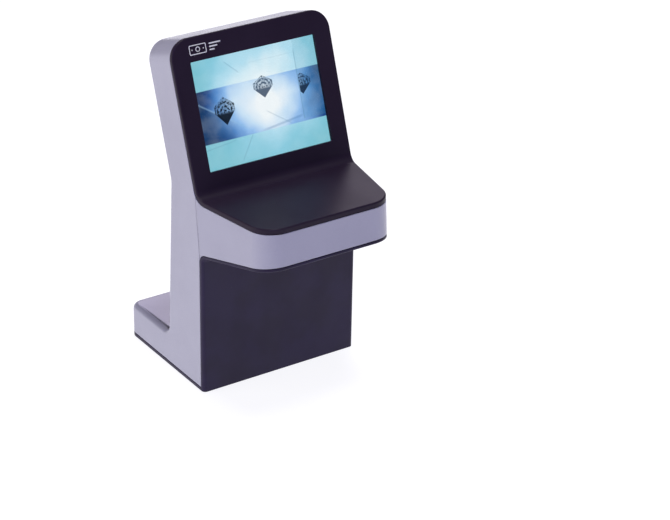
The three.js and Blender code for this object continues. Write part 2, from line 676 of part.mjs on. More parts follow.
add('rear_housing', rearHousing(), SILVER);
add('front_cover', frontCover(), GLOSS_BLACK);
add('visor_band', visorBand(), SILVER);
add('lower_front_panel', lowerFrontPanel(), SATIN_BLACK);
add('base_plate', basePlate(), SATIN_BLACK);
add('screen_window', screenWindow(), CLEAR);
add('infrared_window', infraredWindow(), INFRARED_DARK);

FEET.forEach((at, index) => add(`rubber_foot_${index + 1}`, rubberFoot(at), RUBBER));
BASE_BOSSES.forEach((at, index) => add(`base_screw_${index + 1}`, baseScrew(at), BLACK_SCREW));
SIDES.forEach((side, index) => {
  const label = ['left', 'right'][index];
  const headScrew = headFrameScrew(side * HEAD_SCREW.x, 18 + GAP, HEAD_SCREW.s, 10, 2.8, 1.2);
  add(`head_screw_${label}`, headScrew, BLACK_SCREW);
  add(`column_screw_${label}`, columnScrew(side), BLACK_SCREW);
  add(`lcd_bracket_${label}`, lcdBracket(side), STEEL);
  add(`switch_terminal_${label}`, switchTerminal(side), STEEL);
});

add('lcd_glass', lcdGlass(), GLASS);
add('lcd_frame', lcdFrame(), STEEL);
onBrackets(BRACKET_SCREW_S).forEach(([x, s], index) => {
  add(`bracket_screw_${index + 1}`, headFrameScrew(x, 11.8, s, 5.5, 2.4, 0.95), STEEL);
});
add('display_board', displayBoard(), BOARD);
onBrackets(DISPLAY_SCREW_S).forEach(([x, s], index) => {
  const seat = DISPLAY_BOARD.n[1] + GAP;
  add(`display_screw_${index + 1}`, headFrameScrew(x, seat, s, 4, 2.1, 0.85), STEEL);
});
add('display_chip', displayPart([-8, 8], [15.4, 16.8], [46, 62]), CHIP);
add('lcd_connector', displayPart([-15, 15], [15.4, 18], [17.8, 23]), NYLON);
add('lcd_ribbon', lcdRibbon(), CABLE);

add('camera_board', cameraBoard(), BOARD);
BOARD_POSTS.forEach((at, index) => {
  add(`camera_screw_${index + 1}`, boardScrew(at, CAMERA_W + 1.6, undersideFrame), STEEL);
});
add('lens_holder', lensHolder(), CHIP);
add('lens_barrel', lensBarrel(), CHIP);
add('camera_lens', cameraLens(), GLASS);
for (const side of SIDES) {
  const label = side < 0 ? 'left' : 'right';
  [-42, -22].forEach((y, index) => {
    add(`infrared_led_${label}_${index + 1}`, infraredLed(side * 28, y), LED_CLEAR);
  });
}

add('main_board', mainBoard(), BOARD);
add('control_chip', box([-9, 9], [34, 52], [9.9, 11.6]), CHIP);
add('capacitor', turned([[4, 9.9], [4, 20.5], [3.4, 21]], 34, 40, 20), CAPACITOR);
add('cable_connector_camera', box([13, 23], [12, 17], [9.9, 15.6]), NYLON);
add('cable_connector_display', box([-23, -13], [12, 17], [9.9, 15.6]), NYLON);
add('camera_cable', ribbon(CAMERA_CABLE, 7, 1.2), CABLE);
add('display_cable', ribbon(DISPLAY_CABLE, 7, 1.2), CABLE);
add('power_inlet', powerInlet(), CHIP);
add('power_inlet_pin', powerPin(), STEEL);
add('switch_body', switchBody(), CHIP);
add('switch_rocker', switchRocker(), CHIP);

export default detector;
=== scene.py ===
"""Looks of a desktop counterfeit bill detector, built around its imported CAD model.

Lengths in this script are millimetres and are turned into metres when vertices are made.
The front faces -Y, +Z is up. Bent sheets are drawn flat, as (x, p) with p measured along a
path in the (y, z) plane, and are then laid onto that path.
"""

import json
import math

import bmesh
import bpy
from mathutils import Matrix, Vector
from mathutils.geometry import delaunay_2d_cdt


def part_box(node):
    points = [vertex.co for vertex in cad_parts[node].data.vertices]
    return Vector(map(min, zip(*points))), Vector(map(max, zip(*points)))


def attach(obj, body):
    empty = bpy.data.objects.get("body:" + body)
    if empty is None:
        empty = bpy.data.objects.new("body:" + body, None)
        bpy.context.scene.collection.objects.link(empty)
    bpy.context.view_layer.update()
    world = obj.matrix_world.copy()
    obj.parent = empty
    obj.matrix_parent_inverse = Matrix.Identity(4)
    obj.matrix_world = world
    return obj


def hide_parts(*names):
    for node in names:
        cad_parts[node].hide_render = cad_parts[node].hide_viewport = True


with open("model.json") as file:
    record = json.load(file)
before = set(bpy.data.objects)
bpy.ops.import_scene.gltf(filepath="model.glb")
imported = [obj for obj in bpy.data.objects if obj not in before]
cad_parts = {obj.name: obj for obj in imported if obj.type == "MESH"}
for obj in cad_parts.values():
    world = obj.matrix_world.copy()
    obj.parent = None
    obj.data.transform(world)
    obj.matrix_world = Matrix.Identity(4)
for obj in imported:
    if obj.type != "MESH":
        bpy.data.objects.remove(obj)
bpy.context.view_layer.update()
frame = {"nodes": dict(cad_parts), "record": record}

MM = 0.001
TINY = 1e-6                         # mm; nearer than this is the same place


def box_of(node):
    """Low and high corner of a CAD node's box, in millimetres."""
    return [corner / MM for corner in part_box(node)]


# --- dimensions
HOUSING_LOW, HOUSING_HIGH = box_of("rear_housing")
HALF = HOUSING_HIGH.x
REAR_Y = HOUSING_HIGH.y
HOUSING_BOTTOM = HOUSING_LOW.z
PANEL_BOTTOM = box_of("lower_front_panel")[0].z
WALL = 2.0
GAP = 0.3
EDGE = 3.8                          # radius of the housing's rear edges
SEAM_EDGE = 0.45                    # small radius along the seams
SEAM_GAP = 0.5                      # between the visor band and the housing

TILT = math.radians(19.2)
BEND = Vector((-15.0, 145.4))       # y, z of the corner between screen face and shelf
BEND_RADIUS = 8.0
HEAD_LENGTH = 106.2
HEAD_DEPTH = 34.6
HEAD_CORNER = 14.0
COLUMN_TOP = (21.9, 146.0, 14.0)    # y, z, radius of the bends in the rear
COLUMN_BOTTOM = (28.4, 25.8, 6.0)
FOOT_TOP = 25.8
FOOT_CORNER = 8.0

COVER = 3.0                         # thickness of the dark front cover
LIP = 3.8                           # the same at the visor's front
COVER_EDGE = 1.1
VISOR_LEAN = 0.08                   # the visor's front stands back by this per mm up
VISOR_HALF = 50.2
VISOR_CORNER = 18.0
VISOR_FRONT = -80.14                # at the height of the shelf
VISOR_SEAM = -12.2

PANEL_FACE = -20.1
PANEL_THICK = 3.7
PANEL_EDGE = 3.0
RIM = 2.2
RIM_EDGE = 0.9
UNDERSIDE_Z = 103.6
UNDERSIDE_TILT = math.radians(11.15)
PANEL_BEND = 3.5

SCREEN_WIDTH = 97.0
SCREEN_HEIGHT = 74.0
SCREEN_CENTRE = 52.8                # along the head, from the bend
SCREEN_CORNER, SCREEN_EDGE = 0.6, 0.35

ROUND_STEPS = 6                     # facets in a quarter round
ARC_STEP = math.radians(6)
SMALL_ARC_STEP = math.radians(15)
MITRE_LIMIT = 0.3                   # keeps the inset of a sharp corner from running away


def head_point(depth, along):
    """(y, z) of a point of the head: depth into it from the screen face, along from the bend."""
    sin, cos = math.sin(TILT), math.cos(TILT)
    return Vector((BEND.x + depth * cos + along * sin, BEND.y - depth * sin + along * cos))


def on_head(x, depth, along):
    return Vector((x, *head_point(depth, along)))


def underside_point(reach):
    """(y, z) on the visor's underside, at that distance from the panel's face."""
    return (PANEL_FACE - reach * math.cos(UNDERSIDE_TILT),
            UNDERSIDE_Z + reach * math.sin(UNDERSIDE_TILT))


# --- outlines
def arc_points(before, corner, after, radius, step=ARC_STEP):
    """Points of the arc that rounds a corner between two others."""
    back = (before - corner).normalized()
    ahead = (after - corner).normalized()
    half = back.angle(ahead) / 2
    centre = corner + (back + ahead).normalized() * (radius / math.sin(half))
    start = corner + back * (radius / math.tan(half)) - centre
    end = corner + ahead * (radius / math.tan(half)) - centre
    sweep = math.atan2(start.x * end.y - start.y * end.x, start.dot(end))
    count = max(2, math.ceil(abs(sweep) / step))
    points = []
    for index in range(count + 1):
        angle = sweep * index / count
        sin, cos = math.sin(angle), math.cos(angle)
        points.append(centre + Vector((start.x * cos - start.y * sin,
                                       start.x * sin + start.y * cos)))
    return points


def rounded(corners, step=ARC_STEP):
    """A closed outline from corners (u, v) or (u, v, radius)."""
    points = []
    for index, corner in enumerate(corners):
        here = Vector(corner[:2])
        if len(corner) < 3:
            points.append(here)
            continue
        before = Vector(corners[index - 1][:2])
        after = Vector(corners[(index + 1) % len(corners)][:2])
        points += arc_points(before, here, after, corner[2], step)
    return points


def rectangle(x0, x1, p0, p1, radius):
    return rounded([(x0, p0, radius), (x1, p0, radius), (x1, p1, radius), (x0, p1, radius)],
                   SMALL_ARC_STEP)


def centred(x, p, half_wide, half_high, radius):
    return rectangle(x - half_wide, x + half_wide, p - half_high, p + half_high, radius)


def circle(x, p, radius, count=32):
    turn = 2 * math.pi / count
    return [Vector((x + radius * math.cos(turn * k), p + radius * math.sin(turn * k)))
            for k in range(count)]


def inward(points):
    """For a counter-clockwise outline, the move of each point that insets it by 1."""
    moves = []
    for index, here in enumerate(points):
        along = (here - points[index - 1]).normalized()
        ahead = (points[(index + 1) % len(points)] - here).normalized()
        first = Vector((-along.y, along.x))
        second = Vector((-ahead.y, ahead.x))
        middle = (first + second).normalized()
        moves.append(middle / max(middle.dot(first), MITRE_LIMIT))
    return moves


def inset_by(loop, moves, distance):
    return [point + move * distance for point, move in zip(loop, moves)]


def inside(point, polygon):
    """Whether a point lies in a polygon, by the edges crossed on the way out."""
    found = False
    for index, a in enumerate(polygon):
        b = polygon[index - 1]
        if (a.y > point.y) != (b.y > point.y):
            if point.x < (b.x - a.x) * (point.y - a.y) / (b.y - a.y) + a.x:
                found = not found
    return found


class Path:
    """A line with round corners in the (y, z) plane, by length p. side says where outside is."""

    def __init__(self, corners, side):
        self.side = side
        self.parts = []
        self.rows = []
        places = [Vector(corner[:2]) for corner in corners]
        here, length = places[0], 0.0
        for index in range(1, len(places)):
            arc = []
            end = places[index]
            if len(corners[index]) == 3:
                arc = arc_points(places[index - 1], end, places[index + 1], corners[index][2])
                end = arc[0]
            self.parts.append((length, here, (end - here).normalized(), None))
            length += (end - here).length
            if arc:
                length = self._add_arc(arc, (places[index + 1] - arc[-1]).normalized(), length)
                end = arc[-1]
            here = end
        self.length = length

    def _add_arc(self, arc, leaving, length):
        """Stores the arc as its facets, with the true tangent at each end of a facet."""
        chords = [(b - a).normalized() for a, b in zip(arc, arc[1:])]
        tangents = [self.parts[-1][2]]
        tangents += [(a + b).normalized() for a, b in zip(chords, chords[1:])]
        tangents.append(leaving)
        for index, chord in enumerate(chords):
            facet = (arc[index + 1] - arc[index]).length
            self.parts.append((length, arc[index], chord,
                               (tangents[index], tangents[index + 1], facet)))
            self.rows.append(length)
            length += facet
        self.rows.append(length)
        return length

    def at(self, p, depth=0.0):
        """(y, z) at p along the path, depth below its outer side."""
        part = self.parts[0]
        for candidate in self.parts:
            if candidate[0] <= p + 1e-9:
                part = candidate
        start, origin, along, arc = part
        tangent = along
        if arc:
            share = (p - start) / arc[2]
            tangent = arc[0].lerp(arc[1], share).normalized()
        normal = Vector((tangent.y, -tangent.x)) * self.side
        return origin + along * (p - start) - normal * depth

    def place(self, x, p, depth=0.0):
        y, z = self.at(p, depth)
        return Vector((x, y, z))

    def measure(self, y, z):
        """p of a point on the path's last straight stretch."""
        start, origin, along, _ = self.parts[-1]
        return start + (Vector((y, z)) - origin).dot(along)


ON_ROW = 1e-3                       # mm within which a point counts as on a row


def with_rows(points, rows):
    """Adds a point wherever the outline crosses a row. Returns points and their row numbers."""
    made, tags = [], []
    for index, a in enumerate(points):
        b = points[(index + 1) % len(points)]
        on_row = [k for k, row in enumerate(rows) if abs(a.y - row) < ON_ROW]
        made.append(a)
        tags.append(on_row[0] if on_row else None)
        crossed = []
        for k, row in enumerate(rows):
            nearest = min(abs(a.y - row), abs(b.y - row))
            if (a.y - row) * (b.y - row) < 0 and nearest > ON_ROW:
                share = (row - a.y) / (b.y - a.y)
                crossed.append((share, k))
        for share, k in sorted(crossed):
            made.append(a.lerp(b, share))
            tags.append(k)
    return made, tags


# --- mesh building
def new_verts(bm, places, matrix=Matrix()):
    return [bm.verts.new(matrix @ (place * MM)) for place in places]


class Ring:
    """A closed row of vertices, their flat coordinates and the bend rows that they lie on."""

    def __init__(self, flat, verts, tags=None):
        self.flat = flat
        self.verts = verts
        self.tags = tags or [None] * len(flat)


def laid_ring(bm, flat, place, depth, tags=None):
    return Ring(flat, new_verts(bm, [place(x, p, depth) for x, p in flat]), tags)


def quad_strip(bm, first, second, closed=True):
    count = len(first)
    for index in range(count if closed else count - 1):
        after = (index + 1) % count
        corners = [first[index], first[after], second[after], second[index]]
        unique = list(dict.fromkeys(corners))
        if len(unique) > 2:
            bm.faces.new(unique)


def strips(bm, rows):
    for first, second in zip(rows, rows[1:]):
        quad_strip(bm, first, second)


def capped(bm, rows):
    """A closed body from the sections along it."""
    strips(bm, rows)
    bm.faces.new(rows[0])
    bm.faces.new(rows[-1][::-1])


def fill(bm, outer, holes=()):
    """Triangles between an outer ring and its holes, with an edge along each bend row."""
    flat, verts, edges = [], [], []
    for ring in (outer, *holes):
        start, count = len(flat), len(ring.flat)
        flat += [Vector(place) for place in ring.flat]
        verts += ring.verts
        edges += [(start + k, start + (k + 1) % count) for k in range(count)]
    for tag in sorted({t for t in outer.tags if t is not None}):
        ends = [k for k, t in enumerate(outer.tags) if t == tag]
        if len(ends) == 2:
            edges.append(tuple(ends))
    found = delaunay_2d_cdt(flat, edges, [], 0, 1e-7)
    if len(found[0]) > len(flat):
        raise ValueError("outlines cross near %s" % found[0][-1])
    for face in found[2]:
        corners = [found[3][k][0] for k in face]
        middle = sum((flat[k] for k in corners), Vector((0, 0))) / len(corners)
        in_hole = any(inside(middle, ring.flat) for ring in holes)
        if inside(middle, outer.flat) and not in_hole:
            bm.faces.new([verts[k] for k in corners])


def quarter(steps=ROUND_STEPS):
    """Shares (across, down) of a quarter round, from the face to the side."""
    for step in range(steps + 1):
        angle = math.pi / 2 * step / steps
        yield 1 - math.sin(angle), 1 - math.cos(angle)


def bored(bm, place, loop, profile):
    """Rings round a hole, from (outset, depth) pairs. Returns the rings."""
    moves = inward(loop)
    rings = []
    for outset, depth in profile:
        rings.append(laid_ring(bm, inset_by(loop, moves, -outset), place, depth))
    strips(bm, [ring.verts for ring in rings])
    return rings


def rim_profile(radius, thick, back=0.2):
    """Profile of a plain hole through a plate."""
    steps = [(radius * across, radius * down) for across, down in quarter(3)]
    return steps + [(0, thick - back), (back, thick)]


def plate(bm, place, loop, tags, holes, edge, thick, back=0.25):
    """A closed plate. edge(x, p, move) gives the inset of its front round and its radius,
    thick(p) the thickness, and each hole is a loop with the radius of its front edge."""
    moves = inward(loop)
    rounds = [edge(point.x, point.y, move) for point, move in zip(loop, moves)]
    rings = []
    for across, down in quarter():
        flat = [point + inset * across for point, (inset, _) in zip(loop, rounds)]
        places = [place(x, p, radius * down) for (x, p), (_, radius) in zip(flat, rounds)]
        rings.append(Ring(flat, new_verts(bm, places), tags))
    for across, down in reversed(list(quarter(3))):
        flat = [point + move * back * across for point, move in zip(loop, moves)]
        places = [place(x, p, thick(p) - back * down) for x, p in flat]
        rings.append(Ring(flat, new_verts(bm, places), tags))
    strips(bm, [ring.verts for ring in rings])
    bores = []
    for hole, radius in holes:
        bores.append(bored(bm, place, hole, rim_profile(radius, thick(hole[0].y))))
    fill(bm, rings[0], [bore[0] for bore in bores])
    fill(bm, rings[-1], [bore[-1] for bore in bores])


def lathe(bm, profile, matrix, count=40):
    """Turns (radius, height) pairs about local Z, in millimetres. Returns the rows made."""
    rows = []
    for radius, height in profile:
        if radius:
            ring = circle(0, 0, radius, count)
            rows.append(new_verts(bm, [Vector((x, y, height)) for x, y in ring], matrix))
        else:
            rows.append(new_verts(bm, [Vector((0, 0, height))], matrix) * count)
    strips(bm, rows)
    return rows


def new_object(name, data):
    made = bpy.data.objects.new(name, data)
    bpy.context.scene.collection.objects.link(made)
    return made


def mesh_object(name, bm, material):
    mesh = bpy.data.meshes.new(name)
    bm.to_mesh(mesh)
    bm.free()
    mesh.materials.append(material)
    return new_object(name, mesh)


def finish_piece(name, bm, material, sharp):
    """Makes the object, smooth between edges sharper than that many degrees."""
    bmesh.ops.recalc_face_normals(bm, faces=bm.faces)
    for face in bm.faces:
        face.smooth = True
    for edge in bm.edges:
        if len(edge.link_faces) == 2:
            edge.smooth = edge.calc_face_angle() < math.radians(sharp)
    piece = mesh_object(name, bm, material)
    piece.modifiers.new("flat_faces", "WEIGHTED_NORMAL").keep_sharp = True
    return piece


def evenly(radius):
    """The same inset and round all along an outline."""
    return lambda x, p, move: (move * radius, radius)


# --- paths of the bent sheets
UNDERSIDE_REACH = 70                # the path runs on past the visor's front

COVER_PATH = Path([head_point(0, HEAD_LENGTH), (*BEND, BEND_RADIUS), (VISOR_FRONT, BEND.y)], 1)
PANEL_PATH = Path([
    (PANEL_FACE, PANEL_BOTTOM),
    (PANEL_FACE, UNDERSIDE_Z, PANEL_BEND),
    underside_point(UNDERSIDE_REACH),
], -1)
REAR_PATH = Path([
    head_point(HEAD_DEPTH, HEAD_LENGTH), COLUMN_TOP, COLUMN_BOTTOM, (REAR_Y, FOOT_TOP),
], -1)
SHELF_START = COVER_PATH.rows[-1]
RIM_START = PANEL_PATH.rows[-1]
PANEL_END = PANEL_PATH.rows[0]


def cover_thick(p):
    share = (p - SHELF_START) / (COVER_PATH.length - SHELF_START)
    return COVER + (LIP - COVER) * max(share, 0)


def panel_thick(p):
    share = min(max((p - PANEL_END) / (RIM_START - PANEL_END), 0), 1)
    return PANEL_THICK + (RIM - PANEL_THICK) * share


def smooth_share(value, low, high):
    share = min(max((value - low) / (high - low), 0), 1)
    return share * share * (3 - 2 * share)


# --- plan of the visor
# Right half, as (x, y at the height of the shelf). The plan moves back by VISOR_LEAN per mm up.
VISOR_PLAN = [Vector((HALF, VISOR_SEAM))] + arc_points(
    Vector((HALF, VISOR_SEAM)), Vector((VISOR_HALF, VISOR_FRONT)), Vector((0, VISOR_FRONT)),
    VISOR_CORNER, math.radians(4))
SIDE_SLOPE = (HALF - VISOR_HALF) / (VISOR_SEAM - VISOR_FRONT)


def plan_x(y, z):
    """Half width of the visor's side at a point of its side line."""
    level = y - VISOR_LEAN * (z - BEND.y)
    return HALF - SIDE_SLOPE * max(VISOR_SEAM - level, 0)


def on_surface(spot, height):
    """(x, y, z) of a plan point on the surface z = height(y)."""
    y = spot.y
    for _ in range(4):
        y = spot.y + VISOR_LEAN * (height(y) - BEND.y)
    return Vector((spot.x, y, height(y)))


def rim_low(y):
    return UNDERSIDE_Z + (PANEL_FACE - y) * math.tan(UNDERSIDE_TILT)


def rim_high(y):
    return rim_low(y) + RIM / math.cos(UNDERSIDE_TILT)


def shelf_low(y):
    share = (BEND.x - y) / (BEND.x - VISOR_FRONT)
    return BEND.y - COVER - (LIP - COVER) * share


# --- front cover
def mirrored(right_half):
    """A closed outline from its right half, listed from the low p end to the high one."""
    left_half = [Vector((-point.x, point.y)) for point in reversed(right_half)]
    return right_half + [point for point in left_half if abs(point.x) > TINY]


def cover_outline():
    right = arc_points(Vector((0, 0)), Vector((HALF, 0)), Vector((HALF, HEAD_LENGTH)), HEAD_CORNER)
    for row in COVER_PATH.rows:
        right.append(Vector((plan_x(*COVER_PATH.at(row)), row)))
    for spot in VISOR_PLAN[1:]:
        right.append(Vector((spot.x, COVER_PATH.measure(spot.y, BEND.y))))
    return with_rows(mirrored(right), COVER_PATH.rows)


def front_cover():
    bm = bmesh.new()
    loop, tags = cover_outline()
    top = HEAD_LENGTH - SCREEN_CENTRE - SCREEN_HEIGHT / 2
    opening = rectangle(-SCREEN_WIDTH / 2, SCREEN_WIDTH / 2, top, top + SCREEN_HEIGHT,
                        SCREEN_CORNER)
    plate(bm, COVER_PATH.place, loop, tags, [(opening, SCREEN_EDGE)], evenly(COVER_EDGE),
          cover_thick)
    return bm


# --- lower front panel and rim
IR_OPENING_X = 42
IR_OPENING = (14, 50)               # along the underside, from the panel's face
IR_CORNER, IR_EDGE = 1.0, 0.4
FADE_BEFORE, FADE_AFTER = 4, 3      # the edge's round fades from before the bend to after it


def panel_outline():
    right = [Vector((HALF, 0.0))]
    narrow = plan_x(*PANEL_PATH.at(RIM_START))
    for row in PANEL_PATH.rows:
        share = (row - PANEL_END) / (RIM_START - PANEL_END)
        right.append(Vector((HALF + (narrow - HALF) * share, row)))
    for spot in VISOR_PLAN[1:]:
        x, y, z = on_surface(spot, rim_low)
        right.append(Vector((x, PANEL_PATH.measure(y, z))))
    return with_rows(mirrored(right), PANEL_PATH.rows)


def panel_edge(x, p, move):
    """The upright edges are rounder than the rim, and the lower end is cut straight."""
    share = smooth_share(p, PANEL_END - FADE_BEFORE, RIM_START + FADE_AFTER)
    radius = PANEL_EDGE + (RIM_EDGE - PANEL_EDGE) * share
    if p < TINY:
        return Vector((-math.copysign(radius, x), 0)), radius
    return move * radius, radius


def lower_front_panel():
    bm = bmesh.new()
    loop, tags = panel_outline()
    near, far = (PANEL_PATH.measure(*underside_point(reach)) for reach in IR_OPENING)
    opening = rectangle(-IR_OPENING_X, IR_OPENING_X, near, far, IR_CORNER)
    plate(bm, PANEL_PATH.place, loop, tags, [(opening, IR_EDGE)], panel_edge, panel_thick)
    return bm


# --- seams of the side walls
SEAM_ROW_TOP = 3                    # bend row of the cover where the band's seam meets it
SEAM_ROW_LOW = 2                    # and the same for the panel


def cover_back(p):
    return COVER_PATH.at(p, cover_thick(p) + GAP)


def panel_back(p):
    return PANEL_PATH.at(p, panel_thick(p) + GAP)


def housing_seam():
    """(y, z) of the housing's front edge on a side, from the base up to the head."""
    seam_y = PANEL_FACE + PANEL_THICK + GAP
    points = [Vector((seam_y, HOUSING_BOTTOM)), Vector((seam_y, panel_back(PANEL_END).y))]
    points += [panel_back(p) for p in PANEL_PATH.rows[1:SEAM_ROW_LOW + 1]]
    points += [cover_back(p) for p in reversed(COVER_PATH.rows[:SEAM_ROW_TOP + 1])]
    return points


# --- rear housing
SOCKET_HALF = 35
SOCKET_Z = (5.0, 20.5)
SOCKET_DEEP = 3.0
SOCKET_CORNER, SOCKET_EDGE = 2.0, 0.5
SOCKET_SHELL = 1.2                  # from the tray's wall to its back
SOCKET_X = 22                       # of the inlet, and of the switch on the other side
SOCKET_MIDDLE = 13.0
INLET_HOLE = 4.1
SWITCH_HOLE = (7, 4.6)              # half sizes

VENT_COUNT = 6
VENT_PITCH = 5
VENT_LOWEST = 48                    # along the head, from the bend
VENT_HALF = 24
VENT_HIGH = 2.4
VENT_END, VENT_EDGE = 1.1, 0.35     # radii of the ends and of the edge

HEAD_SCREW_X, HEAD_SCREW_S = 24, 99
COLUMN_SCREW_X, COLUMN_SCREW_Z = 44, 62
HEAD_SINK = (HEAD_DEPTH - 18, 3.0, 3.35)    # depth, radius, and radius of the tube round it
COLUMN_SINK = (17.2, 3.2, 4.3)
SHANK_HOLE = 1.5
SEAT_THICK = 3.4


def offset_line(points, distance):
    """An open line moved to its left by a distance."""
    moved = []
    for index, here in enumerate(points):
        before = points[max(index - 1, 0)]
        after = points[min(index + 1, len(points) - 1)]
        first = (here - before) if index else (after - here)
        second = (after - here) if index + 1 < len(points) else first
        sides = [Vector((-d.y, d.x)).normalized() for d in (first, second)]
        middle = (sides[0] + sides[1]).normalized()
        moved.append(here + middle * distance / max(middle.dot(sides[0]), MITRE_LIMIT))
    return moved


def vents():
    """Cooling slots in the back of the head, as outlines on the rear path."""
    slots = []
    for row in range(VENT_COUNT):
        high = HEAD_LENGTH - (VENT_LOWEST + row * VENT_PITCH)
        slots.append(rectangle(-VENT_HALF, VENT_HALF, high - VENT_HIGH, high, VENT_END))
    return slots


def sink_profile(deep, radius, tube):
    """A screw's sink and the tube round it, from the outside to the inner skin."""
    end = deep + SEAT_THICK
    return [(0.2, 0), (0.06, 0.06), (0, 0.2), (0, deep), (SHANK_HOLE - radius, deep),
            (SHANK_HOLE - radius, end), (tube - radius, end), (tube - radius, WALL)]


def housing_holes(bm):
    """Makes the walls of the holes in the rear. Returns their outer and inner rings."""
    rim = rim_profile(VENT_EDGE, WALL, 0.15)
    bores = [bored(bm, REAR_PATH.place, slot, rim) for slot in vents()]
    for side in (-1, 1):
        for x, p, sink in ((HEAD_SCREW_X, HEAD_LENGTH - HEAD_SCREW_S, HEAD_SINK),
                           (COLUMN_SCREW_X, COLUMN_SCREW_P, COLUMN_SINK)):
            loop = circle(side * x, p, sink[1])
            bores.append(bored(bm, REAR_PATH.place, loop, sink_profile(*sink)))
    return [bore[0] for bore in bores], [bore[-1] for bore in bores]


def column_p_at(z):
    """p on the rear path where the column's back has that height."""
    low, high = REAR_PATH.rows[0], REAR_PATH.length
    for _ in range(60):
        middle = (low + high) / 2
        if REAR_PATH.at(middle).y > z:
            low = middle
        else:
            high = middle
    return low


COLUMN_SCREW_P = column_p_at(COLUMN_SCREW_Z)


def rear_place(x, z, depth=0.0):
    return Vector((x, REAR_Y - depth, z))


def socket_tray(bm):
    """The sunk panel at the back of the foot. Returns its outer and inner rings."""
    tray = rectangle(-SOCKET_HALF, SOCKET_HALF, *SOCKET_Z, SOCKET_CORNER)
    front = [(SOCKET_EDGE, 0), (0.15, 0.15), (0, SOCKET_EDGE),
             (0, SOCKET_DEEP - 0.4), (-0.4, SOCKET_DEEP)]
    back = [(SOCKET_SHELL, WALL), (SOCKET_SHELL, SOCKET_DEEP + WALL)]
    front_rings = bored(bm, rear_place, tray, front)
    back_rings = bored(bm, rear_place, tray, back)
    inlet = circle(SOCKET_X, SOCKET_MIDDLE, INLET_HOLE, 40)
    switch = centred(-SOCKET_X, SOCKET_MIDDLE, *SWITCH_HOLE, 0.4)
    bores = []
    for hole in (inlet, switch):
        profile = [(0.2, SOCKET_DEEP), (0, SOCKET_DEEP + 0.2), (0, SOCKET_DEEP + WALL)]
        bores.append(bored(bm, rear_place, hole, profile))
    fill(bm, front_rings[-1], [bore[0] for bore in bores])
    fill(bm, back_rings[-1], [bore[-1] for bore in bores])
    return front_rings[0], back_rings[0]


def back_skin(bm, loop, tags, moves, inset, holes):
    """The rear face and its round edges. Returns the vertices where the walls begin."""
    radius = EDGE - inset
    rings = []
    for across, down in quarter():
        flat = inset_by(loop, moves, inset + radius * across)
        rings.append(laid_ring(bm, flat, REAR_PATH.place, inset + radius * down, tags))
    strips(bm, [ring.verts for ring in rings])
    fill(bm, rings[0], holes)
    return rings[-1].verts


def edge_row(top, foot, x, retreat):
    """Places along the shell's edge, from the head's flat points to the foot's and back."""
    head_deep = HEAD_DEPTH - COVER - GAP - retreat
    foot_deep = FOOT_TOP - HOUSING_BOTTOM - retreat
    row = [REAR_PATH.place(*point, head_deep) for point in top]
    line = [row[-1].yz, *reversed(housing_seam()), Vector((REAR_Y, HOUSING_BOTTOM))]
    side_line = offset_line(line, retreat)[1:-1]
    row += [Vector((x, y, z)) for y, z in side_line]
    row += [REAR_PATH.place(*point, foot_deep) for point in foot]
    row += [Vector((-x, y, z)) for y, z in reversed(side_line)]
    return row


def housing_skin(bm, inset, rim_radius, holes, tray):
    """One skin of the shell. Returns the rows of vertices of its edge, the last one innermost."""
    loop, tags = with_rows(rounded([
        (-HALF, 0, HEAD_CORNER), (HALF, 0, HEAD_CORNER),
        (HALF, REAR_PATH.length, FOOT_CORNER), (-HALF, REAR_PATH.length, FOOT_CORNER),
    ]), REAR_PATH.rows)
    moves = inward(loop)
    wall = back_skin(bm, loop, tags, moves, inset, holes)
    top = [k for k, point in enumerate(loop) if point.y < HEAD_CORNER + TINY]
    foot_from = REAR_PATH.length - FOOT_CORNER - TINY
    foot = [k for k, point in enumerate(loop) if point.y > foot_from]

    rows = []
    for across, down in (quarter(3) if rim_radius else [(0, 0)]):
        sunk = inset + rim_radius * down
        flat = inset_by(loop, moves, sunk)
        row = edge_row([flat[k] for k in top], [flat[k] for k in foot], HALF - sunk,
                       rim_radius * across)
        rows.append(new_verts(bm, row))
    strips(bm, rows)

    edge, count = rows[0], len(housing_seam())
    foot_start = len(top) + count
    top_edge = edge[:len(top)]
    right_edge = edge[len(top):foot_start]
    foot_edge = edge[foot_start:-count]
    left_edge = edge[-count:]
    quad_strip(bm, [wall[k] for k in top], top_edge, closed=False)
    foot_wall(bm, [wall[k] for k in foot], foot_edge, tray)
    right = wall[top[-1]:foot[0] + 1] + [foot_edge[0]] + right_edge[::-1] + [top_edge[-1]]
    left = wall[foot[-1]:] + [wall[0], top_edge[0]] + left_edge[::-1] + [foot_edge[-1]]
    for outline in (right, left):
        fill(bm, Ring([vert.co.yz / MM for vert in outline], outline))
    return rows


def foot_wall(bm, high, low, tray):
    """The foot's wall: round corners, and a flat back with the socket tray in it."""
    flat_y = max(vert.co.y for vert in high)
    back = [k for k, vert in enumerate(high) if vert.co.y > flat_y - 1e-7]
    first, last = back[0], back[-1]
    quad_strip(bm, high[:first + 1], low[:first + 1], closed=False)
    quad_strip(bm, high[last:], low[last:], closed=False)
    corners = high[first:last + 1] + low[first:last + 1][::-1]
    fill(bm, Ring([vert.co.xz / MM for vert in corners], corners), [tray])


def rear_housing():
    bm = bmesh.new()
    outer_holes, inner_holes = housing_holes(bm)
    outer_tray, inner_tray = socket_tray(bm)
    outer = housing_skin(bm, 0, SEAM_EDGE, outer_holes, outer_tray)
    inner = housing_skin(bm, WALL, 0, inner_holes, inner_tray)
    quad_strip(bm, outer[-1], inner[-1])
    return bm


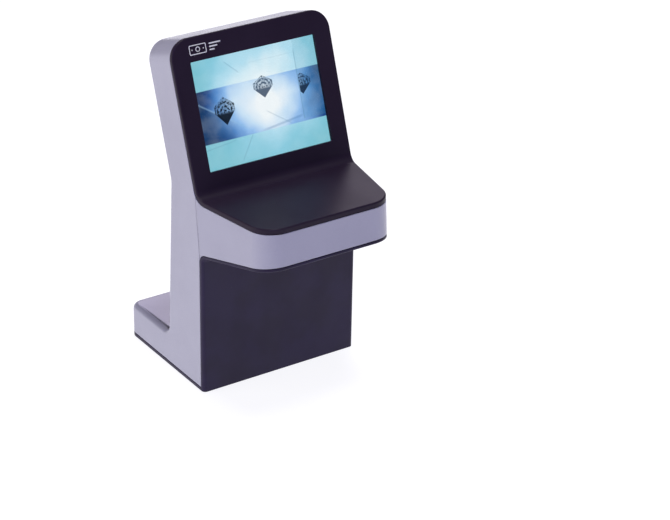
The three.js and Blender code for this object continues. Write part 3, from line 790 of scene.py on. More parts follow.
# --- visor band
def band_columns():
    """Lower and upper end of each column of the right half, from the seam to the middle."""
    low_rows = PANEL_PATH.rows[SEAM_ROW_LOW:]
    top_rows = COVER_PATH.rows[SEAM_ROW_TOP:]
    count = max(len(low_rows), len(top_rows)) - 1
    columns = []
    for index in range(count + 1):
        low = panel_back(low_rows[0] + (low_rows[-1] - low_rows[0]) * index / count)
        high = cover_back(top_rows[0] + (top_rows[-1] - top_rows[0]) * index / count)
        columns.append([Vector((plan_x(*end), *end)) for end in (low, high)])
    for spot in VISOR_PLAN[1:]:
        low = on_surface(spot, lambda y: rim_high(y) + GAP)
        high = on_surface(spot, lambda y: shelf_low(y) - GAP)
        columns.append([low, high])
    return columns


def visor_band():
    bm = bmesh.new()
    right = band_columns()
    left = [[Vector((-end.x, end.y, end.z)) for end in column] for column in reversed(right)]
    columns = right + left
    middles = [(low + high) / 2 for low, high in columns]
    inwards = []
    for index in range(len(columns)):
        along = middles[min(index + 1, len(columns) - 1)] - middles[max(index - 1, 0)]
        inwards.append(Vector((along.y, -along.x, 0)).normalized())
    rounds = [(SEAM_EDGE * across, SEAM_EDGE * down) for across, down in quarter(3)]

    def section(index, sunk, shift):
        low, high = columns[index]
        up = (high - low).normalized()
        turn = inwards[index]
        ahead = middles[-2] - middles[-1] if index else middles[1] - middles[0]
        step = shift * ahead.normalized()
        points = []
        for inset, rise in rounds:
            points.append(low + turn * max(inset, sunk) + up * rise)
        for inset, rise in reversed(rounds):
            points.append(high + turn * max(inset, sunk) - up * rise)
        points += [high + turn * WALL, low + turn * WALL]
        return new_verts(bm, [point + step for point in points])

    ends = [(sunk, shift + SEAM_GAP) for sunk, shift in rounds]
    sections = [section(0, sunk, shift) for sunk, shift in ends]
    sections += [section(index, 0, 0) for index in range(1, len(columns) - 1)]
    sections += [section(len(columns) - 1, sunk, shift) for sunk, shift in reversed(ends)]
    capped(bm, sections)
    return bm


# --- small pieces
PANE_HALF, PANE_REACH = 50.7, 39.2
PANE_DEPTHS = (1.9, 3.7)            # behind the screen face
DISPLAY_HALF, DISPLAY_REACH = 57.5, 42.9
DISPLAY_DEPTHS = (4.3, 6.1)
DISPLAY_CENTRE = SCREEN_CENTRE - 1.6


def head_plate(half, reach, depths, middle):
    """A plate in the head, between two depths, with slightly round edges."""
    bm = bmesh.new()
    loop = centred(0, middle, half, reach, 0.4)

    def place(x, along, deep=0.0):
        return on_head(x, depths[0] + deep, along)

    plate(bm, place, loop, None, [], evenly(0.2), lambda p: depths[1] - depths[0], 0.2)
    return bm


HEAD_FLAT = 0.62                    # flat share of a screw head's radius
HEAD_BRIM = 0.2                     # height of the head's straight brim
THREAD_PITCH = 0.62                 # by the shank's radius
THREAD_ROOT = 0.8
TIP_LENGTH = 0.9


def screw_profile(head_radius, head_high, shank_radius, length):
    profile = [(0, length), (shank_radius * 0.35, length - 0.1)]
    pitch = shank_radius * THREAD_PITCH
    height = length - TIP_LENGTH
    while height > pitch:
        profile += [(shank_radius, height), (shank_radius * THREAD_ROOT, height - pitch / 2)]
        height -= pitch
    profile += [(shank_radius, 0.0), (head_radius * 0.97, 0.0), (head_radius, -HEAD_BRIM)]
    for step in range(1, 5):
        angle = math.pi / 2 * step / 5
        profile.append((head_radius * (HEAD_FLAT + (1 - HEAD_FLAT) * math.cos(angle)),
                        -HEAD_BRIM - (head_high - HEAD_BRIM) * math.sin(angle)))
    return profile + [(head_radius * HEAD_FLAT, -head_high)]


def screw(seat, direction, head_radius, head_high, shank_radius, length):
    """A pan-head screw with a cross recess. direction points from the head to the tip."""
    bm = bmesh.new()
    turn = Vector(direction).to_track_quat("Z", "Y").to_matrix().to_4x4()
    matrix = Matrix.Translation(Vector(seat) * MM) @ turn
    rows = lathe(bm, screw_profile(head_radius, head_high, shank_radius, length), matrix)
    rim = head_radius * HEAD_FLAT
    arm, half, deep = rim * 0.85, rim * 0.2, head_high * 0.55
    star = []
    for quarter_turn in range(4):
        turn = Matrix.Rotation(math.pi / 2 * quarter_turn, 2)
        star += [turn @ Vector(point) for point in ((half, half), (half, arm), (-half, arm))]
    upper = new_verts(bm, [Vector((x, y, -head_high)) for x, y in star], matrix)
    lower = new_verts(bm, [Vector((x * 0.7, y * 0.7, deep - head_high)) for x, y in star], matrix)
    fill(bm, Ring(circle(0, 0, rim, len(rows[-1])), rows[-1]), [Ring(star, upper)])
    quad_strip(bm, upper, lower)
    bm.faces.new(lower)
    return bm


def rubber_foot(node):
    low, high = box_of(node)
    middle = (low + high) / 2
    radius = (high.x - low.x) / 2
    tall = high.z - low.z
    bm = bmesh.new()
    matrix = Matrix.Translation(Vector((middle.x, middle.y, low.z)) * MM)
    lathe(bm, [(0, 0.25), (radius - 1.6, 0.25), (radius - 1.3, 0), (radius - 0.7, 0),
               (radius - 0.25, 0.15), (radius, 0.6), (radius, tall), (0, tall)], matrix, 48)
    return bm


# --- printed marks
MARK_LEFT, MARK_LOW = -48.0, 94.2   # on the screen face, along the head
NOTE_WIDE, NOTE_HIGH = 13, 6.6
NOTE_LINE = 0.6
LENS_RADIUS, LENS_BORE = 1.75, 1.2
DOTS, DOT_RADIUS = (2.2, 10.8), 0.42
DASHES = (9.0, 6.4, 3.8)            # lengths
DASH_LEFT, DASH_TOP, DASH_PITCH, DASH_HALF = 15.2, 5.4, 2.1, 0.45


def stamp(bm, place, lifts, outline, holes=(), matrix=Matrix()):
    """A thin printed area. place(x, y, lift) puts its points on the surface."""
    layers = []
    for lift in lifts:
        rings = []
        for loop in (outline, *holes):
            places = [place(x, y, lift) for x, y in loop]
            rings.append(Ring(loop, new_verts(bm, places, matrix)))
        fill(bm, rings[0], rings[1:])
        layers.append(rings)
    for front, back in zip(*layers):
        quad_strip(bm, front.verts, back.verts)


def printed_mark():
    """A banknote under a lens, and three dashes: a plain pictogram of what the device does."""
    bm = bmesh.new()
    x, s = MARK_LEFT, MARK_LOW
    middle = s + NOTE_HIGH / 2

    def ink(outline, holes=()):
        stamp(bm, lambda x, s, lift: on_head(x, -lift, s), (0.03, -0.01), outline, holes)

    ink(rectangle(x, x + NOTE_WIDE, s, s + NOTE_HIGH, 0.9),
        [rectangle(x + NOTE_LINE, x + NOTE_WIDE - NOTE_LINE,
                   s + NOTE_LINE, s + NOTE_HIGH - NOTE_LINE, 0.5)])
    ink(circle(x + NOTE_WIDE / 2, middle, LENS_RADIUS),
        [circle(x + NOTE_WIDE / 2, middle, LENS_BORE)])
    for dot in DOTS:
        ink(circle(x + dot, middle, DOT_RADIUS, 16))
    left = x + DASH_LEFT
    for index, length in enumerate(DASHES):
        high = s + DASH_TOP - index * DASH_PITCH
        ink(rectangle(left, left + length, high - DASH_HALF, high + DASH_HALF, 0.4))
    return bm


# --- inlet and rocker switch
ROCKER_PIVOT = Vector((-SOCKET_X, REAR_Y - SOCKET_DEEP - 0.5, SOCKET_MIDDLE))
ROCKER_REST = math.radians(10)
ROCKER_MATRIX = Matrix.Translation(ROCKER_PIVOT * MM) @ Matrix.Rotation(ROCKER_REST, 4, "Z")
ROCKER_HALF = 5.4                   # across its pin
ROCKER_HALF_HIGH = 3.2
ROCKER_ROUND = 0.45
ROCKER_DEEP = 2.6                   # below the pivot
ROCKER_FLAT, ROCKER_SLOPE = 1.4, 0.4    # its belly is flat in the middle and rises outside it
ROCKER_TAPER = 0.93
ROCKER_STEPS = 24
ROCKER_LOW, ROCKER_RISE = 1.35, 0.95    # its face above the pivot, and the rise to its ends
PIN_RADIUS, PIN_HALF = 0.8, 3.8
BEZEL_HALF = (7.7, 5.3)
BEZEL_STANDS = 1.9                  # out of the tray
WELL_HALF, WELL_DEEP = (6.1, 3.5), 7.9
CAN_DEEP = 14.9


def at_rear(face):
    """Places points (x, z) at a depth behind the plane y = face."""
    return lambda x, z, deep=0.0: Vector((x, face - deep, z))


def switch_frame():
    """The switch's bezel with its well, and the can behind it."""
    bm = bmesh.new()
    x, z = ROCKER_PIVOT.x, ROCKER_PIVOT.z
    place = at_rear(REAR_Y - SOCKET_DEEP + BEZEL_STANDS)
    rings = bored(bm, place, centred(x, z, *BEZEL_HALF, 1.0),
                  [(-0.5, 0), (-0.15, 0.12), (0, 0.5), (0, 1.6), (-1.0, 1.6), (-1.0, CAN_DEEP)])
    well = bored(bm, place, centred(x, z, *WELL_HALF, 0.3),
                 [(0.25, 0), (0.06, 0.08), (0, 0.25), (0, WELL_DEEP)])
    fill(bm, rings[0], [well[0]])
    bm.faces.new(well[-1].verts)
    bm.faces.new(rings[-1].verts)
    return bm


def rocker_face(x):
    """Height of the dished rocker's face above its pivot."""
    return ROCKER_LOW + ROCKER_RISE * (x / ROCKER_HALF) ** 2


def switch_rocker():
    """A dished paddle: round along its face and rounded at its rim."""
    bm = bmesh.new()
    soft = ROCKER_ROUND
    rounds = [(soft * down, ROCKER_HALF_HIGH - soft * across) for across, down in quarter(4)]
    rows = []
    for index in range(ROCKER_STEPS + 1):
        share = index / ROCKER_STEPS
        x = ROCKER_HALF * (2 * share - 1)
        edge = min(share, 1 - share) * 2 * ROCKER_HALF
        drop = soft - math.sqrt(max(soft * soft - max(soft - edge, 0) ** 2, 0))
        top = rocker_face(x) - drop
        low = ROCKER_SLOPE * max(abs(x) - ROCKER_FLAT, 0) - ROCKER_DEEP
        row = [Vector((x, top - fall, z)) for fall, z in rounds]
        row += [Vector((x * ROCKER_TAPER, low, z)) for z in (ROCKER_HALF_HIGH, -ROCKER_HALF_HIGH)]
        row += [Vector((x, top - fall, -z)) for fall, z in reversed(rounds)]
        rows.append(new_verts(bm, row, ROCKER_MATRIX))
    capped(bm, rows)
    pin = ROCKER_MATRIX @ Matrix.Translation((0, 0, -PIN_HALF * MM))
    lathe(bm, [(0, 0), (PIN_RADIUS, 0), (PIN_RADIUS, 2 * PIN_HALF), (0, 2 * PIN_HALF)], pin, 20)
    return bm


OFF_X, OFF_RADIUS, OFF_BORE = -3.3, 1.05, 0.75
ON_X, ON_WIDE = 3.1, 0.35


def rocker_marks():
    """The usual line and ring for on and off, filled with white."""
    bm = bmesh.new()

    def fill_in(outline, holes=()):
        stamp(bm, lambda x, z, lift: Vector((x, rocker_face(x) + lift, z)), (0.03, -0.05),
              outline, holes, ROCKER_MATRIX)

    fill_in(circle(OFF_X, 0, OFF_RADIUS, 28), [circle(OFF_X, 0, OFF_BORE, 28)])
    fill_in(rectangle(ON_X, ON_X + ON_WIDE, -OFF_RADIUS, OFF_RADIUS, 0.1))
    return bm


INLET_RING, INLET_BORE = 3.8, 2.95  # radii
INLET_BLOCK_HALF = 4.8
INLET_COLLAR_DEEP = 2.4
INLET_BORE_END = 64.0               # y of its bottom


def inlet_collar():
    """The power inlet: a ring in the wall, its deep bore, and the block behind."""
    bm = bmesh.new()
    low, high = box_of("power_inlet")
    place = at_rear(high.y)
    ring = circle(SOCKET_X, SOCKET_MIDDLE, INLET_RING, 48)
    bore = circle(SOCKET_X, SOCKET_MIDDLE, INLET_BORE, 48)
    outside = bored(bm, place, ring,
                    [(-0.25, 0), (-0.07, 0.07), (0, 0.25), (0, INLET_COLLAR_DEEP)])
    well = bored(bm, place, bore,
                 [(0.25, 0), (0.07, 0.07), (0, 0.25), (0, high.y - INLET_BORE_END)])
    fill(bm, outside[0], [well[0]])
    bm.faces.new(well[-1].verts)
    block = rectangle(SOCKET_X - INLET_BLOCK_HALF, SOCKET_X + INLET_BLOCK_HALF,
                      low.z, high.z, 0.4)
    shell = bored(bm, place, block, [(0, INLET_COLLAR_DEEP), (0, high.y - low.y)])
    fill(bm, shell[0], [outside[-1]])
    bm.faces.new(shell[-1].verts)
    return bm


# --- node materials
def tone(red, green, blue):
    """A colour from its usual 0 to 255 values."""
    linear = []
    for value in (red, green, blue):
        share = value / 255
        linear.append(share / 12.92 if share < 0.04045 else ((share + 0.055) / 1.055) ** 2.4)
    return (*linear, 1.0)


class Finish:
    """A node material. Its textures lie in the object's own frame and are sized in mm."""

    def __init__(self, name, **sockets):
        self.material = bpy.data.materials.new(name)
        self.material.use_nodes = True
        self.nodes = self.material.node_tree.nodes
        self.shader = self.nodes["Principled BSDF"]
        self.place = self.node("ShaderNodeTexCoord").outputs["Object"]
        for socket, value in sockets.items():
            self.feed(self.shader.inputs[socket.replace("_", " ")], value)

    def feed(self, socket, value):
        if isinstance(value, bpy.types.NodeSocket):
            self.material.node_tree.links.new(value, socket)
        else:
            socket.default_value = value

    def set(self, socket, value):
        self.feed(self.shader.inputs[socket], value)

    def node(self, kind, inputs=(), **settings):
        made = self.nodes.new(kind)
        for name, value in settings.items():
            setattr(made, name, value)
        for name, value in dict(inputs).items():
            self.feed(made.inputs[name], value)
        return made

    def maths(self, operation, first, second=0.0):
        made = self.node("ShaderNodeMath", operation=operation)
        self.feed(made.inputs[0], first)
        self.feed(made.inputs[1], second)
        return made.outputs[0]

    def times(self, first, *others):
        for other in others:
            first = self.maths("MULTIPLY", first, other)
        return first

    def plus(self, first, second):
        return self.maths("ADD", first, second)

    def minus(self, first, second):
        return self.maths("SUBTRACT", first, second)

    def scaled(self, size, stretch=(1, 1, 1)):
        scale = Vector(stretch) / (size * MM)
        return self.node("ShaderNodeMapping", {"Vector": self.place, "Scale": scale}).outputs[0]

    def noise(self, size, detail=2.0, stretch=(1, 1, 1), distortion=0.0):
        return self.node("ShaderNodeTexNoise", {
            "Vector": self.scaled(size, stretch), "Scale": 1.0, "Detail": detail,
            "Distortion": distortion}).outputs["Fac"]

    def cells(self, size):
        return self.node("ShaderNodeTexVoronoi", {
            "Vector": self.scaled(size), "Scale": 1.0}).outputs["Distance"]

    def spread(self, value, low, high, start=0.35, end=0.65):
        """Maps start..end of a value to low..high with a soft step."""
        return self.node("ShaderNodeMapRange", {
            "Value": value, "From Min": start, "From Max": end, "To Min": low, "To Max": high,
        }, interpolation_type="SMOOTHSTEP").outputs[0]

    def patches(self, size, detail, low, high, start=0.35, end=0.65, stretch=(1, 1, 1)):
        """Soft patches of about that size, with values from low to high."""
        return self.spread(self.noise(size, detail, stretch), low, high, start, end)

    def mix(self, share, first, second):
        made = self.node("ShaderNodeMix", data_type="RGBA")
        self.feed(made.inputs[0], share)
        self.feed(made.inputs[6], first)
        self.feed(made.inputs[7], second)
        return made.outputs[2]

    def ramp(self, value, *stops):
        """Colours along a value, from (position, colour) pairs."""
        made = self.node("ShaderNodeValToRGB", {"Fac": value})
        marks = made.color_ramp.elements
        while len(marks) < len(stops):
            marks.new(0.5)
        for mark, (position, colour) in zip(marks, sorted(stops)):
            mark.position = position
            mark.color = colour
        return made.outputs["Color"]

    def edges(self, radius):
        """1 along edges and corners, 0 on faces."""
        soft = self.node("ShaderNodeBevel", {"Radius": radius * MM}, samples=4).outputs[0]
        flat = self.node("ShaderNodeNewGeometry").outputs["Normal"]
        dot = self.node("ShaderNodeVectorMath", operation="DOT_PRODUCT")
        self.feed(dot.inputs[0], soft)
        self.feed(dot.inputs[1], flat)
        return self.spread(dot.outputs["Value"], 1.0, 0.0, 0.78, 0.98)

    def crevice_shade(self, reach):
        """1 deep in gaps and corners, 0 in the open: the mask for shade painted into crevices."""
        open_share = self.node("ShaderNodeAmbientOcclusion", {"Distance": reach * MM}, samples=6)
        return self.spread(open_share.outputs["AO"], 1.0, 0.0, 0.12, 0.62)

    def bump(self, height, distance, below=None):
        """A relief of that many millimetres, on top of another one."""
        made = self.node("ShaderNodeBump", {"Height": height, "Distance": distance * MM})
        if below:
            self.feed(made.inputs["Normal"], below)
        self.set("Normal", made.outputs[0])
        return made.outputs[0]

    def relief(self, *layers):
        """Bumps from (size, detail, height) of noise, each on top of the one before."""
        below = None
        for size, detail, height in layers:
            below = self.bump(self.noise(size, detail), height, below)

    def done(self, base, roughness, *layers):
        """Sets the colour, the roughness and the relief, and returns the material."""
        self.set("Base Color", base)
        self.set("Roughness", roughness)
        self.relief(*layers)
        return self.material

    def dust(self, amount):
        """Sparse specks, from 0 to amount."""
        specks = self.spread(self.cells(2.6), 1.0, 0.0, 0.04, 0.09)
        return self.times(specks, self.patches(30, 3, 0.0, amount, 0.5, 0.66))


def silver_plastic():
    finish = Finish("silver_plastic", Metallic=0.12)
    cloud = finish.patches(34, 4, 0.0, 1.0, 0.3, 0.7)
    base = finish.mix(cloud, tone(159, 157, 181), tone(165, 163, 187))
    flakes = finish.spread(finish.cells(0.32), 0.0, 0.35, 0.15, 0.75)
    base = finish.mix(flakes, base, tone(182, 180, 198))
    # lighter edges towards tone(214, 212, 228): partly edge wear, partly a painted highlight along
    # the rounded edges
    lighter_edges = finish.times(finish.edges(0.5), finish.patches(7, 5, 0.1, 0.6))
    base = finish.mix(lighter_edges, base, tone(214, 212, 228))
    # painted shade: the colour darkens towards tone(58, 54, 66) deep in seams, gaps and corners
    base = finish.mix(finish.crevice_shade(1.6), base, tone(58, 54, 66))
    handled = finish.patches(24, 1, 0.22, 0.26, stretch=(1, 1, 0.6))
    return finish.done(base, finish.minus(handled, finish.times(lighter_edges, 0.12)),
                       (22, 1, 0.03), (0.55, 3, 0.012))


def gloss_black():
    finish = Finish("gloss_black", IOR=1.42, Specular_IOR_Level=0.17)
    base = finish.mix(finish.patches(40, 3, 0.0, 1.0), tone(40, 30, 48), tone(43, 33, 51))
    rounds = finish.edges(0.4)
    lighter_edges = finish.times(rounds, finish.patches(5, 3, 0.0, 0.2))
    base = finish.mix(lighter_edges, base, tone(84, 78, 96))
    base = finish.mix(finish.dust(0.1), base, tone(150, 146, 152))
    wiped = finish.patches(30, 2, 0.36, 0.4, 0.3, 0.7, (1, 0.5, 0.5))
    matt = finish.plus(wiped, finish.patches(9, 2, 0.0, 0.015, 0.5, 0.8))
    return finish.done(base, finish.minus(matt, finish.times(rounds, 0.24)),
                       (18, 1, 0.008), (0.4, 2, 0.003))


def satin_black():
    finish = Finish("satin_black", IOR=1.4, Specular_IOR_Level=0.33)
    base = finish.mix(finish.patches(28, 4, 0.0, 1.0), tone(36, 26, 56), tone(41, 31, 65))
    lighter_edges = finish.times(finish.edges(0.5), finish.patches(6, 5, 0.0, 0.6))
    base = finish.mix(lighter_edges, base, tone(104, 99, 116))
    base = finish.mix(finish.dust(0.15), base, tone(140, 137, 145))
    return finish.done(base, finish.patches(18, 3, 0.36, 0.46, stretch=(1, 1, 0.5)),
                       (18, 1, 0.02), (0.45, 3, 0.014))


def clear_window():
    finish = Finish("clear_window", IOR=1.49, Transmission_Weight=1.0, Specular_IOR_Level=0.2)
    tint = finish.mix(finish.noise(30), tone(246, 250, 250), tone(250, 252, 252))
    smears = finish.noise(15, 5, (1, 0.6, 0.6), 0.8)
    return finish.done(tint, finish.spread(smears, 0.015, 0.05), (24, 1, 0.004))


def rubber():
    finish = Finish("rubber", IOR=1.45)
    dusty = finish.patches(3, 5, 0.0, 0.5, 0.45, 0.7)
    base = finish.mix(dusty, tone(26, 25, 27), tone(62, 60, 62))
    return finish.done(base, finish.patches(2, 4, 0.72, 0.9), (0.35, 3, 0.03))


def circuit_board():
    finish = Finish("circuit_board", IOR=1.5)
    tracks = finish.node("ShaderNodeTexBrick", {
        "Vector": finish.scaled(9), "Scale": 1.0, "Mortar Size": 0.03, "Mortar Smooth": 0.3,
        "Brick Width": 0.9, "Row Height": 0.22}).outputs["Fac"]
    mask = finish.mix(finish.noise(8, 3), tone(14, 66, 36), tone(20, 80, 44))
    base = finish.mix(tracks, mask, tone(34, 112, 60))
    pads = finish.spread(finish.cells(2.2), 1.0, 0.0, 0.1, 0.14)
    finish.bump(tracks, 0.03)
    base = finish.mix(pads, base, tone(196, 190, 176))
    return finish.done(base, finish.patches(3, 3, 0.28, 0.42))


def print_white():
    finish = Finish("print_white", IOR=1.5)
    thin = finish.patches(0.5, 4, 0.0, 0.35, 0.4, 0.75)
    base = finish.mix(thin, tone(236, 236, 240), tone(186, 185, 192))
    return finish.done(base, finish.patches(2, 3, 0.4, 0.55))


def glassy(name, sockets, cloud, smears, relief=()):
    """A clear material. cloud is (size, detail, colour, colour) of its base, smears is
    (size, detail, low, high) of its roughness."""
    finish = Finish(name, **sockets)
    size, detail, first, second = cloud
    base = finish.mix(finish.noise(size, detail), first, second)
    return finish.done(base, finish.patches(*smears), *relief)


def metal(name, dark, light, roughness, stretch):
    """Bare or blackened metal with fine lines along its stretched noise."""
    finish = Finish(name, Metallic=1.0)
    lines = finish.noise(0.5, 4, stretch)
    base = finish.mix(lines, dark, light)
    shiny = finish.mix(0.5, light, tone(235, 235, 238))
    finish.bump(lines, 0.006)
    return finish.done(finish.mix(finish.edges(0.25), base, shiny),
                       finish.patches(2.5, 4, roughness, roughness + 0.14))


def moulded(name, dark, light, roughness, grain):
    """A small moulding with the fine texture that spark-eroded moulds leave."""
    finish = Finish(name, IOR=1.49)
    base = finish.mix(finish.patches(9, 4, 0.0, 1.0), dark, light)
    lighter_edges = finish.times(finish.edges(0.3), finish.patches(3, 5, 0.0, 0.5))
    pale = finish.mix(0.35, light, tone(225, 225, 225))
    return finish.done(finish.mix(lighter_edges, base, pale),
                       finish.patches(5, 4, roughness, roughness + 0.14), (grain, 3, 0.015))


GLASSY = {
    "infrared_filter": ({"IOR": 1.49, "Transmission_Weight": 0.5},
                        (12, 3, tone(34, 6, 12), tone(46, 9, 16)), (9, 5, 0.06, 0.14),
                        [(16, 1, 0.006)]),
    "screen_glass": ({"IOR": 1.52},
                     (20, 2, tone(16, 18, 22), tone(22, 25, 30)), (10, 4, 0.04, 0.1)),
    "lens_glass": ({"IOR": 1.6, "Transmission_Weight": 0.7, "Coat_Weight": 1.0},
                   (2, 2, tone(40, 34, 70), tone(30, 52, 84)), (1.5, 3, 0.02, 0.05)),
    "led_epoxy": ({"IOR": 1.54, "Transmission_Weight": 0.6},
                  (3, 3, tone(70, 58, 92), tone(94, 80, 116)), (2, 3, 0.06, 0.14)),
}
METALS = {
    "black_screws": (tone(38, 37, 41), tone(62, 61, 66), 0.34, (1, 1, 1)),
    "steel": (tone(158, 160, 164), tone(196, 198, 202), 0.26, (0.1, 1, 1)),
}
MOULDINGS = {
    "black_moulding": (tone(24, 23, 26), tone(36, 35, 38), 0.4, 0.3),
    "nylon": (tone(214, 208, 190), tone(228, 224, 208), 0.42, 0.5),
    "cable": (tone(96, 96, 100), tone(128, 128, 132), 0.5, 0.6),
    "capacitor_sleeve": (tone(22, 30, 62), tone(30, 40, 78), 0.28, 0.8),
}


# --- picture on the screen
class Picture(Finish):
    """The infrared view of a note. u goes from 0 at the left to 1, v from 0 at the top to 1."""

    def __init__(self):
        super().__init__("screen_picture", IOR=1.5, Roughness=0.3, Specular_IOR_Level=0.15)
        self.u = self.along((1, 0, 0), (-SCREEN_WIDTH / 2, 0, 0), SCREEN_WIDTH)
        high = on_head(0, 0, SCREEN_CENTRE + SCREEN_HEIGHT / 2)
        self.v = self.along((0, -math.sin(TILT), -math.cos(TILT)), high, SCREEN_HEIGHT)
        self.image = None

    def along(self, direction, start, length):
        """Share of the way along a direction of the object's frame."""
        dot = self.node("ShaderNodeVectorMath", operation="DOT_PRODUCT")
        self.feed(dot.inputs[0], self.place)
        self.feed(dot.inputs[1], Vector(direction))
        moved = self.minus(dot.outputs["Value"], Vector(start).dot(direction) * MM)
        return self.maths("DIVIDE", moved, length * MM)

    def after(self, value, at, width=0.01):
        """0 before at, 1 after it."""
        return self.spread(value, 0.0, 1.0, at - width, at + width)

    def before(self, value, at, width=0.01):
        return self.spread(value, 1.0, 0.0, at - width, at + width)

    def line(self, value, at, width):
        """1 on a thin line where the value is at."""
        far = self.maths("ABSOLUTE", self.minus(value, at))
        return self.spread(far, 1.0, 0.0, 0.0, width)

    def tilted(self, u, v, turn):
        """Signed distance from a straight line through (u, v), turned by that many degrees."""
        sin, cos = math.sin(math.radians(turn)), math.cos(math.radians(turn))
        return self.plus(self.times(self.minus(self.u, u), -sin),
                         self.times(self.minus(self.v, v), cos))

    def from_middle(self, u, v, wide, high):
        """Distances from (u, v) in shares of a width and a height."""
        return (self.maths("DIVIDE", self.minus(self.u, u), wide),
                self.maths("DIVIDE", self.minus(self.v, v), high))

    def length(self, across, down):
        return self.maths("SQRT", self.plus(self.times(across, across), self.times(down, down)))

    def glow(self, u, v, wide, high):
        """1 in the middle of a soft oval, 0 outside it."""
        radius = self.length(*self.from_middle(u, v, wide, high))
        cloud = self.times(self.minus(self.noise(24, 2), 0.5), 0.45)
        return self.spread(self.plus(radius, cloud), 1.0, 0.0, 0.0, 1.0)

    def shield(self, u, v, wide, high):
        """A plain pointed shield filled with rings and a broken pattern, as security prints are."""
        across, down = self.from_middle(u, v, wide / 2, high / 2)
        across = self.maths("ABSOLUTE", across)
        point = self.maths("MAXIMUM", self.minus(down, 0.05), 0.0)
        peak = self.maths("MAXIMUM", self.minus(-0.45, down), 0.0)
        slopes = self.plus(point, self.times(peak, 1.6))
        body = self.spread(self.plus(across, slopes), 1.0, 0.0, 0.93, 1.0)
        waves = self.maths("SINE", self.times(self.length(across, down), 21.0))
        rings = self.spread(waves, 0.5, 1.0, -0.6, 0.0)
        broken = self.patches(1.1, 3, 0.35, 1.0, 0.4, 0.52)
        lower = self.spread(down, 0.0, 1.0, -0.1, 0.25)
        return self.times(body, self.maths("MAXIMUM", self.times(rings, broken), lower))

    def paint(self, colour, *shares):
        """Lays a colour over the picture, as strong as the product of the shares."""
        self.image = self.mix(self.times(*shares), self.image, colour)


# u, v, turn and the u where each straight crease starts and ends
CREASES = ((0.3, 0.1, 50, 0.27, 0.37), (0.62, 0.66, 42, 0.54, 0.72),
           (0.35, 0.86, -62, 0.29, 0.4), (0.12, 0.8, -8, 0.0, 0.26))


def paint_band(screen):
    """The bright band over the middle of the note, with the corner of a sheet below it."""
    near = screen.glow(0.55, 0.49, 0.6, 0.7)
    screen.image = screen.ramp(
        near, (0.0, tone(0, 38, 88)), (0.12, tone(14, 70, 138)), (0.34, tone(90, 143, 208)),
        (0.55, tone(148, 191, 240)), (0.74, tone(206, 229, 250)), (0.94, tone(248, 251, 254)))
    u = screen.u
    below = screen.tilted(0.06, 0.43, 41)
    screen.paint(tone(26, 60, 100), screen.after(below, 0.003, 0.007),
                 screen.before(u, 0.18, 0.16), 0.7)
    screen.paint(tone(150, 190, 226), screen.line(below, 0.0, 0.012),
                 screen.before(u, 0.37, 0.07), 0.4)
    screen.paint(tone(70, 120, 176), screen.line(screen.tilted(0.62, 0.735, -9), 0.0, 0.02),
                 screen.after(u, 0.5, 0.05), screen.before(u, 0.82, 0.02), 0.4)


def paint_folds(screen):
    u, v = screen.u, screen.v
    above_edge = screen.before(v, 0.74, 0.005)
    screen.paint(tone(70, 150, 176), screen.after(u, 0.83, 0.004), above_edge, 0.16)
    screen.paint(tone(60, 116, 150), screen.line(u, 0.83, 0.006), above_edge,
                 screen.after(v, 0.1, 0.02), 0.4)
    screen.paint(tone(60, 116, 150), screen.line(v, 0.12, 0.006),
                 screen.after(u, 0.46, 0.02), screen.before(u, 0.825, 0.005), 0.12)
    for at_u, at_v, turn, start, end in CREASES:
        screen.paint(tone(66, 124, 158), screen.line(screen.tilted(at_u, at_v, turn), 0.0, 0.008),
                     screen.after(u, start), screen.before(u, end), 0.3)
    screen.paint(tone(238, 250, 252), screen.patches(11, 4, 0.0, 0.07))


def screen_picture():
    screen = Picture()
    near = screen.glow(0.56, 0.36, 0.66, 0.86)
    field = screen.ramp(near, (0.0, tone(126, 196, 212)), (0.3, tone(142, 206, 226)),
                        (0.62, tone(182, 225, 243)), (0.92, tone(236, 248, 253)))
    paint_band(screen)
    in_band = screen.times(screen.after(screen.v, 0.28, 0.004),
                           screen.before(screen.v, 0.762, 0.004))
    screen.image = screen.mix(in_band, field, screen.image)
    paint_folds(screen)
    before_fold = screen.after(screen.u, 0.834, 0.002)
    for place, ink_tone, strength, cut in (
            ((0.215, 0.50, 0.165, 0.25), tone(2, 12, 28), 0.98, 1.0),
            ((0.545, 0.365, 0.16, 0.20), tone(22, 58, 92), 0.9, 1.0),
            ((0.855, 0.42, 0.15, 0.19), tone(6, 30, 60), 0.95, before_fold)):
        screen.paint(ink_tone, screen.shield(*place), strength, cut)
    screen.paint(tone(40, 90, 110), screen.patches(0.35, 1, 0.0, 0.05, stretch=(0.2, 1, 1)))
    screen.set("Base Color", tone(8, 9, 11))
    screen.set("Emission Color", screen.image)
    screen.set("Emission Strength", 1.08)
    return screen.material


# --- assembly
FINISHES = {make.__name__: make() for make in (
    silver_plastic, gloss_black, satin_black, clear_window, rubber, circuit_board)}
for make, looks in ((glassy, GLASSY), (metal, METALS), (moulded, MOULDINGS)):
    FINISHES.update({name: make(name, *look) for name, look in looks.items()})


def add(name, bm, slot, nodes, body="root", material=None, sharp=35):
    """Finishes a piece, makes it ride on its body and hides the CAD nodes it stands for."""
    piece = finish_piece(name, bm, material or FINISHES[slot], sharp)
    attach(piece, body)
    if nodes:
        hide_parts(*nodes)


